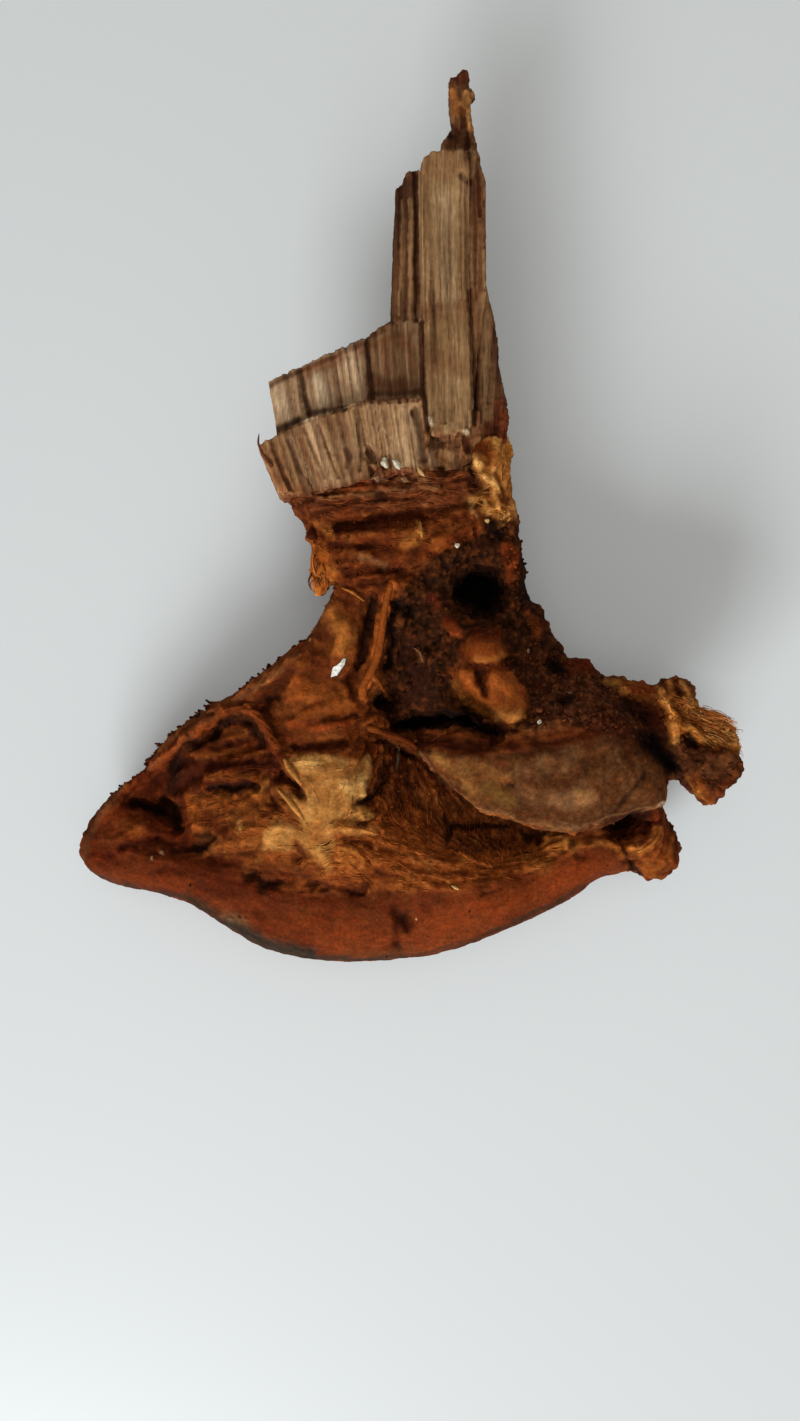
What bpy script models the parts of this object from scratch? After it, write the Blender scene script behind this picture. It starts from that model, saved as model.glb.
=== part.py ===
"""A dried bracket fungus, torn off its trunk with three splinters of the wood, lying on its cap.

Run it with: blender --background --python part.py, or from Blender's text editor.

Metres, +Z up. The part rests on z = 0, and the origin is under the middle of its box. +Y runs along the
grain of the wood, from the fungus to the splinters' tip. The torn face looks up, and the cap, with its growth
rings, looks down. Outlines and heights below are in millimetres, and MM turns them into metres.
"""

import math

import bmesh
import bpy
import numpy as np

MM = 0.001

# Driving dimensions, in millimetres.
MARGIN_EDGE_HEIGHT = 13.0  # how high the rounded growing margin overhangs the surface at the south
FLANK_EDGE_HEIGHT = 24.0  # the same at the broken flanks, nearer the trunk
MARGIN_Y = -68.0  # south of this the edge is as low as the margin's
FLANK_Y = -32.0  # north of this it is as high as the flanks'
MARGIN_ROUNDING = 6.0  # how far in from its edge the margin rounds over
TORN_ROUNDING = 2.5  # the same where the edge is torn
TORN_FROM_Y = -66.0
TORN_TO_Y = -46.0
MARGIN_SMOOTH_FROM_Y = -62.0  # the margin is smooth south of here, and smoothest south of the next line
MARGIN_SMOOTH_TO_Y = -68.0
NECK_LIFT = 13.0  # clear height under the neck, where it grips the wood
NECK_Y = -6.0  # north of this the underside is lifted clear
CAP_ROUNDING = 23.0  # how far in from the outline the cap curves
REST_SINK = 1.1  # how much of the cap's lowest part is worn flat
SURFACE_SOFTNESS = 8.0  # how loosely the torn face follows its spot heights

# Growth rings and lumps of the cap.
TRUNK_CENTRE = (2.0, -6.0)  # the rings run round this point in plan
RING_PITCH = 7.0
RING_DEPTH = 0.9
RING_SLANT = 0.6  # how much a point's height counts as distance from the trunk
RING_FURROW_SHARE = 0.45  # share of the pitch that the furrow takes
CAP_LUMP_HEIGHT = 0.7
CAP_LUMP_SIZE = 6.0

# Crumbly grain of the torn face: (height, size) of its coarse and fine lumps.
CRUMBS = ((0.9, 4.5), (0.6, 2.6))
CRUMBS_LOST = 0.8  # share of them that the smooth margin and lobe lack

# How far a face must look up or down before it is sculpted as torn face or as cap, as the upward share of its
# normal, and how deep inside the lobe's outline its own skin begins and is full.
LOOKS_UP = (0.1, 0.5)
LOOKS_DOWN = (0.25, -0.15)
LOBE_SKIN = (0.5, 2.5)

FINE_CELL = 1.25  # grid of the flesh before it is thinned out
PLATE_CELLS = 3.0  # thickness of a form's plate, in cells, before it is given its heights
BRACKET_TRIANGLES = 6800
SHARP_ANGLE = math.radians(50.0)  # edges sharper than this stay crisp in smooth shading
WELD = 0.01  # merge distance
SEED = 7

# The flesh's outline seen from above, from the west tip round by the north. (x, y) in millimetres.
BRACKET_OUTLINE = (
    (-62.3, -61.1), (-60.7, -56.4), (-55.3, -50.5), (-50.5, -46.5), (-47.5, -42.5), (-41.0, -36.5),
    (-36.0, -33.5), (-30.5, -30.5), (-26.0, -28.0), (-21.0, -24.0), (-17.0, -21.5), (-15.0, -17.0),
    (-13.5, -14.0), (-16.0, -12.0), (-17.0, -7.5), (-15.5, -3.5), (-18.5, 0.0), (-22.0, 3.0),
    (-19.5, 7.0), (-12.0, 11.5), (2.0, 13.0), (11.5, 13.5), (12.0, 15.5), (18.5, 15.5), (19.0, 9.0),
    (19.5, 3.5), (21.0, 0.5), (20.5, -3.5), (21.5, -7.5), (21.5, -11.5), (24.0, -17.5), (27.0, -23.0),
    (29.5, -25.0), (33.0, -24.5), (35.5, -28.5), (39.5, -30.5), (44.0, -36.0), (46.5, -45.5),
    (48.0, -52.5), (50.5, -59.0), (51.0, -62.5), (50.5, -65.0), (47.5, -67.0), (45.0, -66.0),
    (43.0, -64.0), (39.5, -65.5), (36.5, -65.5), (32.5, -69.0), (26.0, -72.5), (18.0, -76.0),
    (10.5, -79.0), (3.0, -80.7), (-4.5, -81.5), (-12.5, -81.7), (-20.0, -81.0), (-27.5, -79.0),
    (-35.5, -74.0), (-41.0, -70.5), (-46.5, -69.0), (-54.5, -67.5), (-59.7, -65.1),
)

# Spot heights of the torn face, (x, y, z) in millimetres. A smooth surface is fitted through them.
SPOT_HEIGHTS = (
    # crest of the rust-brown margin, from the west tip to the south-east knob
    (-56, -61, 19), (-48, -63, 21), (-39, -66, 23), (-30, -70, 24), (-18, -75, 25), (-5, -76, 25.5),
    (9, -73, 25.5), (22, -67, 25.5), (34, -61, 25), (41, -59, 24), (47, -60, 21),
    # foot of the margin, where the torn flesh begins
    (-51, -57, 21), (-38, -60, 23), (-27, -64, 25), (-14, -67, 26), (0, -66, 26.5), (14, -63, 26),
    (28, -58, 26),
    # trough inside the west tip and the north-west flank
    (-47, -51, 16), (-42, -55, 17), (-38, -43, 21), (-32, -38, 20), (-38, -50, 22), (-30, -44, 23),
    (-30, -48, 25),
    # pale fibrous mound in the middle
    (-19, -45, 30), (-13, -50, 31), (-9, -45, 31), (-20, -55, 29), (-13, -58, 29), (-8, -53, 29),
    # gap between the mound and the lobe, and the tubes south of it
    (-1.5, -43, 18), (0, -48, 19), (5, -48, 19), (6, -54, 19), (13, -55, 18), (20, -57, 19), (27, -57, 21),
    (3, -59, 25), (13, -60.5, 25), (-1, -61, 26),
    # orange slope between the trough and the neck
    (-19, -32, 28), (-26, -32, 26), (-13, -30, 29), (-22, -39, 27), (-10, -36, 28), (-11, -22, 30),
    (-13, -18, 28), (-9, -14, 30), (-9, -8, 31),
    # neck, and the banded layer that grips the foot of the wood
    (0, -4, 31.5), (8, -2, 31.5), (-7, -4, 31), (15, -3, 29), (19, -5, 28), (-14, -4, 28), (-8, -12, 30),
    (-18, 3, 29), (-10, 4, 31), (0, 5, 32), (9, 4, 31), (15, 2, 30), (16, 10, 31), (17, 14, 30.5),
    # dark torn flesh between the neck and the lobe
    (3, -18, 27), (3, -29, 25), (6, -24, 27), (-0.5, -22, 25), (0, -33, 22), (10, -19, 29), (14, -24, 31),
    (17, -32, 31), (20, -30, 30), (10, -31, 29), (24, -24, 27), (25, -31, 28), (31, -31, 29), (22, -36, 29),
    (38, -36, 27), (42, -44, 25), (8, -36.5, 22), (14, -38, 24),
)

# Narrow ridges and furrows of the torn face: points, half width and height in millimetres.
STRANDS = {
    "rope down the neck": (((0, -13), (-3, -21), (-3.5, -27), (-6, -31)), 1.5, 3.6),
    "fibre over the gap": (((-6, -36.5), (-2, -37.5), (2, -40)), 1.2, 5.0),
    "lip of the north-west flank": (((-57, -54), (-47, -44), (-36, -35.5), (-26, -29.5), (-18, -24)), 1.6, 3),
    "arched fibre": (((-33, -36), (-27, -34), (-24, -37), (-22, -42)), 1.2, 1.8),
    "crack in the margin": (((0, -70), (1, -74), (-1, -79)), 1.3, -1.6),
    "furrow under the lobe": (((4, -54), (13, -56), (24, -57)), 2.0, -2.5),
    "foot of the margin": (((-46, -58), (-34, -61), (-24, -64), (-14, -66.5), (-2, -67)), 1.4, -1.6),
    "crack above the lobe": (((1, -37), (8, -36), (15, -37.5)), 1.8, -5.0),
    "seam below the wood": (((-13, -1), (-7, 0), (0, 0.5), (7, 0)), 1.1, -2.2),
    "upper layer of the band": (((-19, 3.5), (-10, 4), (0, 6), (10, 6.5)), 0.9, 0.8),
    "lower layer of the band": (((-17, 1), (-8, 2), (4, 2.5), (12, 2)), 0.9, 0.8),
    "layer of the neck": (((-12, -4.5), (-4, -4), (6, -5), (10, -6)), 1.2, 1.0),
    "edge of the dark flesh": (((14, 0), (7, -5), (2, -9), (0, -14), (-0.5, -20)), 1.3, 1.2),
}

# Round hollows and lumps of the torn face: centre, half width and height in millimetres.
PATCHES = {
    "burrow": ((13.0, -12.5), 4.4, -11.0),
    "small burrow": ((-3.5, -32.5), 2.0, -6.0),
    "bead": ((8.6, -19.5), 2.0, 1.8),
    "upper orange lump": ((14.0, -23.5), 3.2, 2.0),
    "lower orange lump": ((18.0, -31.5), 3.4, 1.6),
    "socket in the knob": ((39.0, -55.0), 3.0, -5.0),
    "step of the knob": ((41.5, -61.0), 1.8, -2.0),
    "notch in the lumps": ((12.6, -28.0), 1.4, -2.2),
}

# The leathery lobe that overhangs the gap.
LOBE_OUTLINE = (
    (1.5, -40.5), (4.5, -43.0), (8.0, -46.5), (11.5, -49.5), (15.0, -51.5), (19.0, -53.5), (22.5, -54.5),
    (27.0, -55.0), (32.0, -54.5), (35.0, -53.5), (37.5, -52.5), (41.5, -51.5), (46.5, -51.0), (46.5, -46.0),
    (45.0, -41.0), (41.0, -36.5), (36.0, -32.0), (29.0, -30.5), (20.0, -33.0), (13.0, -36.5), (6.0, -39.0),
)
LOBE_EDGE_HEIGHT = 31.0
LOBE_CROWN = 6.5  # rise of the lobe's middle above its edge
LOBE_ROUNDING = 13.0
LOBE_EDGE_THICKNESS = 1.6
LOBE_UNDERCUT = 1.3  # fall of its underside for each millimetre in from the edge
LOBE_TILT = -0.10  # fall of the whole lobe for each millimetre to the east
LOBE_MIDDLE_X = 24.0
LOBE_CLEAR_HEIGHT = 28.0  # the lobe's own surface lies above this

# The broken chunk that stands out to the east.
CHUNK_OUTLINE = (
    (34.0, -29.5), (38.5, -29.0), (42.0, -29.0), (44.5, -30.5), (46.5, -29.0), (49.5, -29.0), (52.0, -33.0),
    (54.5, -35.5), (59.0, -37.5), (60.5, -40.5), (59.5, -42.5), (61.5, -44.5), (58.5, -47.5), (55.5, -50.5),
    (53.5, -48.5), (50.0, -47.0), (46.5, -46.0), (42.0, -43.0), (37.0, -38.0),
)
CHUNK_EDGE_HEIGHT = 24.0
CHUNK_RISE = 5.0
CHUNK_DROP = 8.0
CHUNK_TOP_ROUNDING = 3.0
CHUNK_LOW_ROUNDING = 4.0

# The knob and the tuft of fibres that stand out to the west, below the wood.
TUFT_OUTLINE = (
    (-13.0, -14.5), (-15.5, -14.5), (-17.5, -8.0), (-16.5, -3.8), (-18.0, -3.0), (-18.0, -1.0), (-16.5, -0.5),
    (-12.0, 1.0), (-9.0, -6.0),
)
TUFT_EDGE_HEIGHT = 24.0
TUFT_RISE = 4.0
TUFT_DROP = 5.0
TUFT_ROUNDING = 3.0


# ---------------------------------------------------------------- measuring

def smooth_step(t):
    """0 below 0, 1 above 1, and an S between them."""
    t = np.clip(t, 0.0, 1.0)
    return t * t * (3.0 - 2.0 * t)


def ramp(values, start, end):
    """0 at the start, 1 at the end, and an S between them."""
    return smooth_step((values - start) / (end - start))


def quarter_round(t):
    """The height of a quarter circle: 0 at t = 0, 1 from t = 1 on."""
    t = np.clip(t, 0.0, 1.0)
    return np.sqrt(1.0 - (1.0 - t) ** 2)


def distance_to_path(points, path):
    """The distance in plan from each point to a line through the path's points."""
    nearest = np.full(len(points), np.inf)
    for start, end in zip(path[:-1], path[1:]):
        start, end = np.array(start, float), np.array(end, float)
        along = end - start
        share = np.clip((points[:, :2] - start) @ along / (along @ along), 0.0, 1.0)
        foot = start + share[:, None] * along
        nearest = np.minimum(nearest, np.linalg.norm(points[:, :2] - foot, axis=1))
    return nearest


def depth_inside(points, outline):
    """The distance in plan from each point to the outline, 0 for a point outside it."""
    inside = np.zeros(len(points), bool)
    x, y = points[:, 0], points[:, 1]
    ring = list(outline) + [outline[0]]
    for (x0, y0), (x1, y1) in zip(ring[:-1], ring[1:]):
        if y0 != y1:
            crosses = (y0 > y) != (y1 > y)
            inside ^= crosses & (x < x0 + (y - y0) / (y1 - y0) * (x1 - x0))
    return np.where(inside, distance_to_path(points, ring), 0.0)


def fitted_surface(spots):
    """A function that gives the height at each point of a thin-plate surface through the spots."""
    spots = np.array(spots, float)

    def bend(distance):
        return distance ** 2 * np.log(np.maximum(distance, 1e-9))

    count = len(spots)
    plane = np.column_stack((np.ones(count), spots[:, :2]))
    between = np.linalg.norm(spots[:, None, :2] - spots[None, :, :2], axis=2)
    system = np.zeros((count + 3, count + 3))
    system[:count, :count] = bend(between) + SURFACE_SOFTNESS * np.eye(count)
    system[:count, count:] = plane
    system[count:, :count] = plane.T
    weights = np.linalg.solve(system, np.concatenate((spots[:, 2], np.zeros(3))))

    def height(points):
        away = np.linalg.norm(points[:, None, :2] - spots[None, :, :2], axis=2)
        flat = weights[count] + points[:, :2] @ weights[count + 1:]
        return bend(away) @ weights[:count] + flat

    return height


def lattice_noise(points, size, seed=SEED):
    """Smooth noise from -1 to 1 whose lumps are about the given size, in millimetres."""
    table = np.random.default_rng(seed).uniform(-1.0, 1.0, 4096)
    scaled = points / size
    corner = np.floor(scaled).astype(np.int64)
    share = smooth_step(scaled - corner)
    total = np.zeros(len(points))
    for offset in np.ndindex(2, 2, 2):
        cell = corner + np.array(offset)
        value = table[(cell[:, 0] * 73 + cell[:, 1] * 421 + cell[:, 2] * 1753) % len(table)]
        weight = np.prod(np.where(np.array(offset) == 1, share, 1.0 - share), axis=1)
        total += value * weight
    return total


# ---------------------------------------------------------------- building blocks

def new_collection(name):
    made = bpy.data.collections.new(name)
    bpy.context.scene.collection.children.link(made)
    return made


def new_material(name, colour, roughness):
    material = bpy.data.materials.new(name)
    material.use_nodes = True
    shader = material.node_tree.nodes["Principled BSDF"]
    shader.inputs["Base Color"].default_value = (*colour, 1.0)
    shader.inputs["Roughness"].default_value = roughness
    shader.inputs["Metallic"].default_value = 0.0
    return material


def new_object(name, mesh, collection, material=None):
    made = bpy.data.objects.new(name, mesh)
    collection.objects.link(made)
    if material is not None:
        mesh.materials.clear()
        mesh.materials.append(material)
    return made


def evaluated_mesh(obj):
    """The object's mesh with its modifiers applied. The object is removed."""
    bpy.context.view_layer.update()
    graph = bpy.context.evaluated_depsgraph_get()
    mesh = bpy.data.meshes.new_from_object(obj.evaluated_get(graph))
    mesh.transform(obj.matrix_world)
    bpy.data.objects.remove(obj)
    return mesh


def mesh_points(mesh):
    """The mesh's points in millimetres, one row each."""
    flat = np.empty(len(mesh.vertices) * 3, np.float32)
    mesh.vertices.foreach_get("co", flat)
    return flat.reshape(-1, 3).astype(float) / MM


def mesh_normals(mesh):
    flat = np.empty(len(mesh.vertices) * 3, np.float32)
    mesh.vertices.foreach_get("normal", flat)
    return flat.reshape(-1, 3).astype(float)


def set_mesh_points(mesh, points):
    mesh.vertices.foreach_set("co", (points * MM).astype(np.float32).ravel())
    mesh.update()


def voxel_remeshed(obj, cell):
    """The object's mesh rebuilt on a grid of this cell, so that shapes that overlap become one skin."""
    remesh = obj.modifiers.new("even grid", "REMESH")
    remesh.mode = "VOXEL"
    remesh.voxel_size = cell * MM
    return evaluated_mesh(obj)


def flat_outline(name, outline, thickness, collection):
    """A plate with this outline, its middle at z = 0, as a mesh object."""
    curve = bpy.data.curves.new(name, "CURVE")
    curve.dimensions = "2D"
    curve.fill_mode = "BOTH"
    curve.extrude = thickness / 2 * MM
    spline = curve.splines.new("POLY")
    spline.points.add(len(outline) - 1)
    for point, (x, y) in zip(spline.points, outline):
        point.co = (x * MM, y * MM, 0.0, 1.0)
    spline.use_cyclic_u = True
    mesh = evaluated_mesh(new_object(name, curve, collection))
    plate = bmesh.new()
    plate.from_mesh(mesh)
    bmesh.ops.remove_doubles(plate, verts=plate.verts, dist=WELD * MM)
    plate.to_mesh(mesh)
    plate.free()
    return new_object(name, mesh, collection)


def blanket_form(name, outline, over, under, collection, cell=FINE_CELL):
    """A closed form with this outline, between the heights that over() and under() give at each point.

    Both take the points and their depth inside the outline, and they meet at the outline's edge.
    """
    thickness = PLATE_CELLS * cell
    mesh = voxel_remeshed(flat_outline(name, outline, thickness, collection), cell)
    points = mesh_points(mesh)
    upper_share = smooth_step(points[:, 2] / (thickness - cell) + 0.5)
    depth = depth_inside(points, outline)
    low, high = under(points, depth), over(points, depth)
    points[:, 2] = low + (high - low) * upper_share
    set_mesh_points(mesh, points)
    return new_object(name, mesh, collection)


def body_from(start):
    """All the bmesh points that edges join to this one."""
    body, front = {start}, [start]
    while front:
        for edge in front.pop().link_edges:
            for vert in edge.verts:
                if vert not in body:
                    body.add(vert)
                    front.append(vert)
    return body


def keep_largest_body(mesh):
    """Removes every body of the mesh but the largest."""
    bodies = bmesh.new()
    bodies.from_mesh(mesh)
    seen, largest = set(), set()
    for vert in bodies.verts:
        if vert not in seen:
            body = body_from(vert)
            seen |= body
            largest = max(largest, body, key=len)
    bmesh.ops.delete(bodies, geom=[vert for vert in bodies.verts if vert not in largest], context="VERTS")
    bodies.to_mesh(mesh)
    bodies.free()


def joined(objects, name, collection):
    """One object that holds the meshes of all of these, which are removed."""
    both = bmesh.new()
    for obj in objects:
        both.from_mesh(obj.data)
        bpy.data.objects.remove(obj)
    mesh = bpy.data.meshes.new(name)
    both.to_mesh(mesh)
    both.free()
    return new_object(name, mesh, collection)


# ---------------------------------------------------------------- the fungus

def edge_height(points):
    """How high the flesh's widest line runs: low along the margin, high at the flanks and the neck."""
    rise = FLANK_EDGE_HEIGHT - MARGIN_EDGE_HEIGHT
    return MARGIN_EDGE_HEIGHT + rise * ramp(points[:, 1], MARGIN_Y, FLANK_Y)


def body_form(collection):
    torn_face = fitted_surface(SPOT_HEIGHTS)

    def over(points, depth):
        edge = edge_height(points)
        torn = ramp(points[:, 1], TORN_FROM_Y, TORN_TO_Y)
        rounding = MARGIN_ROUNDING + (TORN_ROUNDING - MARGIN_ROUNDING) * torn
        return edge + (torn_face(points) - edge) * quarter_round(depth / rounding)

    def under(points, depth):
        edge = edge_height(points)
        lift = NECK_LIFT * ramp(points[:, 1], FLANK_Y, NECK_Y)
        drop = (edge - lift) * quarter_round(depth / CAP_ROUNDING)
        return edge - drop - REST_SINK

    return blanket_form("body form", BRACKET_OUTLINE, over, under, collection)


def lobe_form(collection):
    def edge(points):
        return LOBE_EDGE_HEIGHT + LOBE_TILT * (points[:, 0] - LOBE_MIDDLE_X)

    def over(points, depth):
        return edge(points) + LOBE_CROWN * quarter_round(depth / LOBE_ROUNDING)

    def under(points, depth):
        return edge(points) - LOBE_EDGE_THICKNESS - LOBE_UNDERCUT * depth

    return blanket_form("lobe form", LOBE_OUTLINE, over, under, collection)


def chunk_form(collection):
    def over(points, depth):
        return CHUNK_EDGE_HEIGHT + CHUNK_RISE * quarter_round(depth / CHUNK_TOP_ROUNDING)

    def under(points, depth):
        return CHUNK_EDGE_HEIGHT - CHUNK_DROP * quarter_round(depth / CHUNK_LOW_ROUNDING)

    return blanket_form("chunk form", CHUNK_OUTLINE, over, under, collection)


def tuft_form(collection):
    def over(points, depth):
        return TUFT_EDGE_HEIGHT + TUFT_RISE * quarter_round(depth / TUFT_ROUNDING)

    def under(points, depth):
        return TUFT_EDGE_HEIGHT - TUFT_DROP * quarter_round(depth / TUFT_ROUNDING)

    return blanket_form("tuft form", TUFT_OUTLINE, over, under, collection)


def sculpt_torn_face(points, normals):
    """Moves the points that look up: strands, hollows, lumps and the crumbly grain of torn flesh."""
    faces_up = ramp(normals[:, 2], *LOOKS_UP)
    on_lobe = ramp(depth_inside(points, LOBE_OUTLINE), *LOBE_SKIN) * (points[:, 2] > LOBE_CLEAR_HEIGHT)
    rise = np.zeros(len(points))
    for path, half_width, height in STRANDS.values():
        rise += height * np.exp(-((distance_to_path(points, path) / half_width) ** 2))
    for centre, half_width, height in PATCHES.values():
        away = np.linalg.norm(points[:, :2] - np.array(centre, float), axis=1)
        rise += height * np.exp(-((away / half_width) ** 4))
    smooth = np.maximum(ramp(points[:, 1], MARGIN_SMOOTH_FROM_Y, MARGIN_SMOOTH_TO_Y), on_lobe)
    rise *= 1.0 - on_lobe
    for layer, (height, size) in enumerate(CRUMBS):
        rise += height * lattice_noise(points, size, SEED + layer) * (1.0 - CRUMBS_LOST * smooth)
    points[:, 2] += rise * faces_up


def sculpt_cap(points, normals):
    """Growth rings on the sides and the underside, round the place where the fungus grew from the trunk."""
    faces_down = ramp(normals[:, 2], *LOOKS_DOWN)
    from_trunk = np.linalg.norm(points[:, :2] - np.array(TRUNK_CENTRE), axis=1) + RING_SLANT * points[:, 2]
    from_furrow = np.abs(((from_trunk / RING_PITCH) % 1.0) - 0.5) * 2.0
    furrow = RING_DEPTH * ramp(from_furrow, RING_FURROW_SHARE, 0.0)
    lumps = CAP_LUMP_HEIGHT * lattice_noise(points, CAP_LUMP_SIZE, SEED + len(CRUMBS))
    points -= normals * ((furrow - lumps) * faces_down)[:, None]


def bracket(collection, helpers, material):
    """The whole fungus as one solid, with a socket for each splinter and a flat where it rests."""
    forms = [form(helpers) for form in (body_form, lobe_form, chunk_form, tuft_form)]
    mesh = voxel_remeshed(joined(forms, "forms", helpers), FINE_CELL)
    points = mesh_points(mesh)
    normals = mesh_normals(mesh)
    sculpt_torn_face(points, normals)
    sculpt_cap(points, normals)
    set_mesh_points(mesh, points)
    mesh = voxel_remeshed(new_object("sculpted bracket", mesh, helpers), FINE_CELL)
    mesh.calc_loop_triangles()
    dense = new_object("dense bracket", mesh, helpers)
    thin_out = dense.modifiers.new("fewer faces", "DECIMATE")
    thin_out.ratio = BRACKET_TRIANGLES / len(mesh.loop_triangles)
    mesh = evaluated_mesh(dense)
    keep_largest_body(mesh)
    mesh.shade_smooth()
    mesh.set_sharp_from_angle(angle=SHARP_ANGLE)
    return new_object("bracket", mesh, collection, material)


def cut_flat(obj, helpers):
    """Cuts off what reaches below z = 0."""
    ground = box_object("ground cutter", *GROUND, helpers)
    hide_helper(ground, helpers)
    cut = obj.modifiers.new("resting flat", "BOOLEAN")
    cut.operation = "DIFFERENCE"
    cut.object = ground


def hide_helper(obj, helpers):
    for collection in list(obj.users_collection):
        collection.objects.unlink(obj)
    helpers.objects.link(obj)
    obj.hide_render = True
    obj.display_type = "WIRE"


# ---------------------------------------------------------------- the wood

def along(stations, x):
    """The value at x on a line through (x, value) stations."""
    xs, values = zip(*stations)
    return float(np.interp(x, xs, values))


# Each splinter is a bundle of strips that run along +Y. Every line below is a list of (x, value) stations
# in millimetres: where the strips start and end, and how high their tops and undersides are.
SPLINTERS = {
    "wood_block": (
        {  # upper step
            "start": ((-24.0, 12.0), (3.0, 12.0)),
            "end": ((-24.0, 23.5), (-11.5, 29.5), (-2.5, 33.5), (3.0, 35.0)),
            "top": ((-24.0, 29.5), (-6.0, 30.0), (-5.9, 27.5), (2.5, 27.5)),
            "underside": ((-24.0, 23.0), (-14.0, 20.5), (3.0, 19.5)),
            "span": (-24.0, 2.3),
        },
        {  # lower step
            "start": ((-26.0, 11.0), (-24.5, 7.5), (-22.5, 4.5), (-18.5, 5.6), (-6.0, 8.6), (3.0, 9.0)),
            "end": ((-26.0, 14.0), (-22.5, 15.0), (-15.5, 18.0), (-9.0, 19.5), (-5.0, 22.0), (3.0, 23.5)),
            "top": ((-26.0, 28.5), (-22.0, 30.8), (-8.0, 33.0), (3.0, 32.5)),
            "underside": ((-26.0, 25.0), (-20.0, 21.5), (-14.0, 19.8), (3.0, 19.0)),
            "span": (-26.0, 2.3),
        },
    ),
    "wood_slab": (
        {  # broad face
            "start": ((2.9, 14.5), (11.2, 14.8), (11.8, 16.0), (14.5, 16.0)),
            "end": ((2.9, 61.5), (4.0, 64.5), (8.0, 65.8), (12.5, 66.0), (13.6, 62.0), (14.5, 57.0)),
            "top": ((2.9, 30.8), (6.0, 31.6), (12.0, 31.3), (14.5, 29.5)),
            "underside": ((2.9, 23.5), (14.0, 23.0)),
            "span": (2.9, 13.6),
        },
        {  # torn foot
            "start": ((2.9, 8.0), (11.0, 8.5)),
            "end": ((2.9, 22.0), (11.0, 22.0)),
            "top": ((2.9, 28.3), (7.0, 27.0), (11.0, 28.5)),
            "underside": ((2.9, 23.0), (11.0, 22.8)),
            "span": (2.9, 11.0),
        },
        {  # lower layer that shows along the west side
            "start": ((-2.4, 36.0), (2.0, 36.0), (4.5, 30.0)),
            "end": ((-2.4, 58.5), (-0.5, 60.5), (2.5, 62.0), (4.5, 62.0)),
            "top": ((-2.4, 27.2), (0.0, 28.2), (2.0, 27.0), (4.5, 28.6)),
            "underside": ((-2.4, 23.2), (4.5, 22.6)),
            "span": (-2.4, 4.5),
        },
        {  # thin spike at the tip
            "start": ((7.0, 60.0), (12.5, 60.0)),
            "end": ((7.0, 70.0), (8.0, 78.5), (9.5, 81.0), (11.0, 80.8), (12.0, 75.5), (12.4, 69.0)),
            "top": ((7.0, 29.0), (9.5, 30.0), (12.5, 28.5)),
            "underside": ((7.0, 25.5), (12.5, 25.0)),
            "span": (7.4, 12.2),
        },
    ),
    "wood_edge": (
        {  # darker splinter along the east side
            "start": ((14.0, 16.0), (19.0, 16.0)),
            "end": ((14.2, 42.0), (15.2, 38.5), (16.6, 29.5), (17.3, 24.5), (18.8, 20.0)),
            "top": ((14.2, 28.4), (16.5, 29.2), (19.0, 27.0)),
            "underside": ((14.2, 22.2), (19.0, 22.8)),
            "span": (14.4, 18.7),
        },
    ),
}

# Strips of wood: their width, how far neighbours overlap on each side, and how far each one's start, end, top
# and underside may stray.
STRIP_WIDTH = 1.15
STRIP_OVERLAP = 0.12
START_STRAY = (0.0, 0.7)
END_STRAY = (-0.9, 0.4)
TOP_STRAY = (-0.5, 0.5)
UNDERSIDE_STRAY = (-0.3, 0.3)

# What is cut off below the resting flat, as (lowest corner, highest corner).
GROUND = ((-120.0, -120.0, -40.0), (120.0, 120.0, 0.0))

# The hollows that the wood's feet lie in, as (lowest corner, highest corner). They are open at the top.
SOCKETS = {
    "block socket": ((-30.0, 5.2, 18.3), (2.6, 40.0, 60.0)),
    "slab socket": ((2.2, 7.6, 22.1), (11.6, 40.0, 60.0)),
}


def strip_boxes(layers, seed):
    """(lowest corner, highest corner) of each strip of a splinter, in millimetres."""
    chance = np.random.default_rng(seed)
    boxes = []
    for layer in layers:
        west, east = layer["span"]
        count = round((east - west) / STRIP_WIDTH)
        pitch = (east - west) / count
        for number in range(count):
            middle = west + (number + 0.5) * pitch
            half = pitch / 2 + STRIP_OVERLAP
            start = along(layer["start"], middle) + chance.uniform(*START_STRAY)
            end = along(layer["end"], middle) + chance.uniform(*END_STRAY)
            top = along(layer["top"], middle) + chance.uniform(*TOP_STRAY)
            low = along(layer["underside"], middle) + chance.uniform(*UNDERSIDE_STRAY)
            boxes.append(((middle - half, start, low), (middle + half, end, top)))
    return boxes


def box_object(name, low, high, collection):
    """A plain box between two corners, in millimetres."""
    box = bmesh.new()
    bmesh.ops.create_cube(box, size=1.0)
    low, high = np.array(low, float), np.array(high, float)
    bmesh.ops.scale(box, vec=(high - low) * MM, verts=box.verts)
    bmesh.ops.translate(box, vec=(high + low) / 2 * MM, verts=box.verts)
    mesh = bpy.data.meshes.new(name)
    box.to_mesh(mesh)
    box.free()
    return new_object(name, mesh, collection)


def splinter(name, boxes, collection, helpers, material):
    """One splinter: its strips joined into one solid."""
    made = box_object(name, *boxes[0], collection)
    made.data.materials.append(material)
    strips = bpy.data.collections.new(name + " strips")
    helpers.children.link(strips)
    for low, high in boxes[1:]:
        hide_helper(box_object(name + " strip", low, high, helpers), strips)
    union = made.modifiers.new("strips", "BOOLEAN")
    union.operation = "UNION"
    union.operand_type = "COLLECTION"
    union.collection = strips
    return made


def cut_sockets(obj, helpers):
    """Clears the flesh round the wood's feet, and above them, so that the wood can lie in it."""
    for name, (low, high) in SOCKETS.items():
        box = box_object(name, low, high, helpers)
        hide_helper(box, helpers)
        cut = obj.modifiers.new(name, "BOOLEAN")
        cut.operation = "DIFFERENCE"
        cut.object = box


# ---------------------------------------------------------------- the whole object

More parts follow.
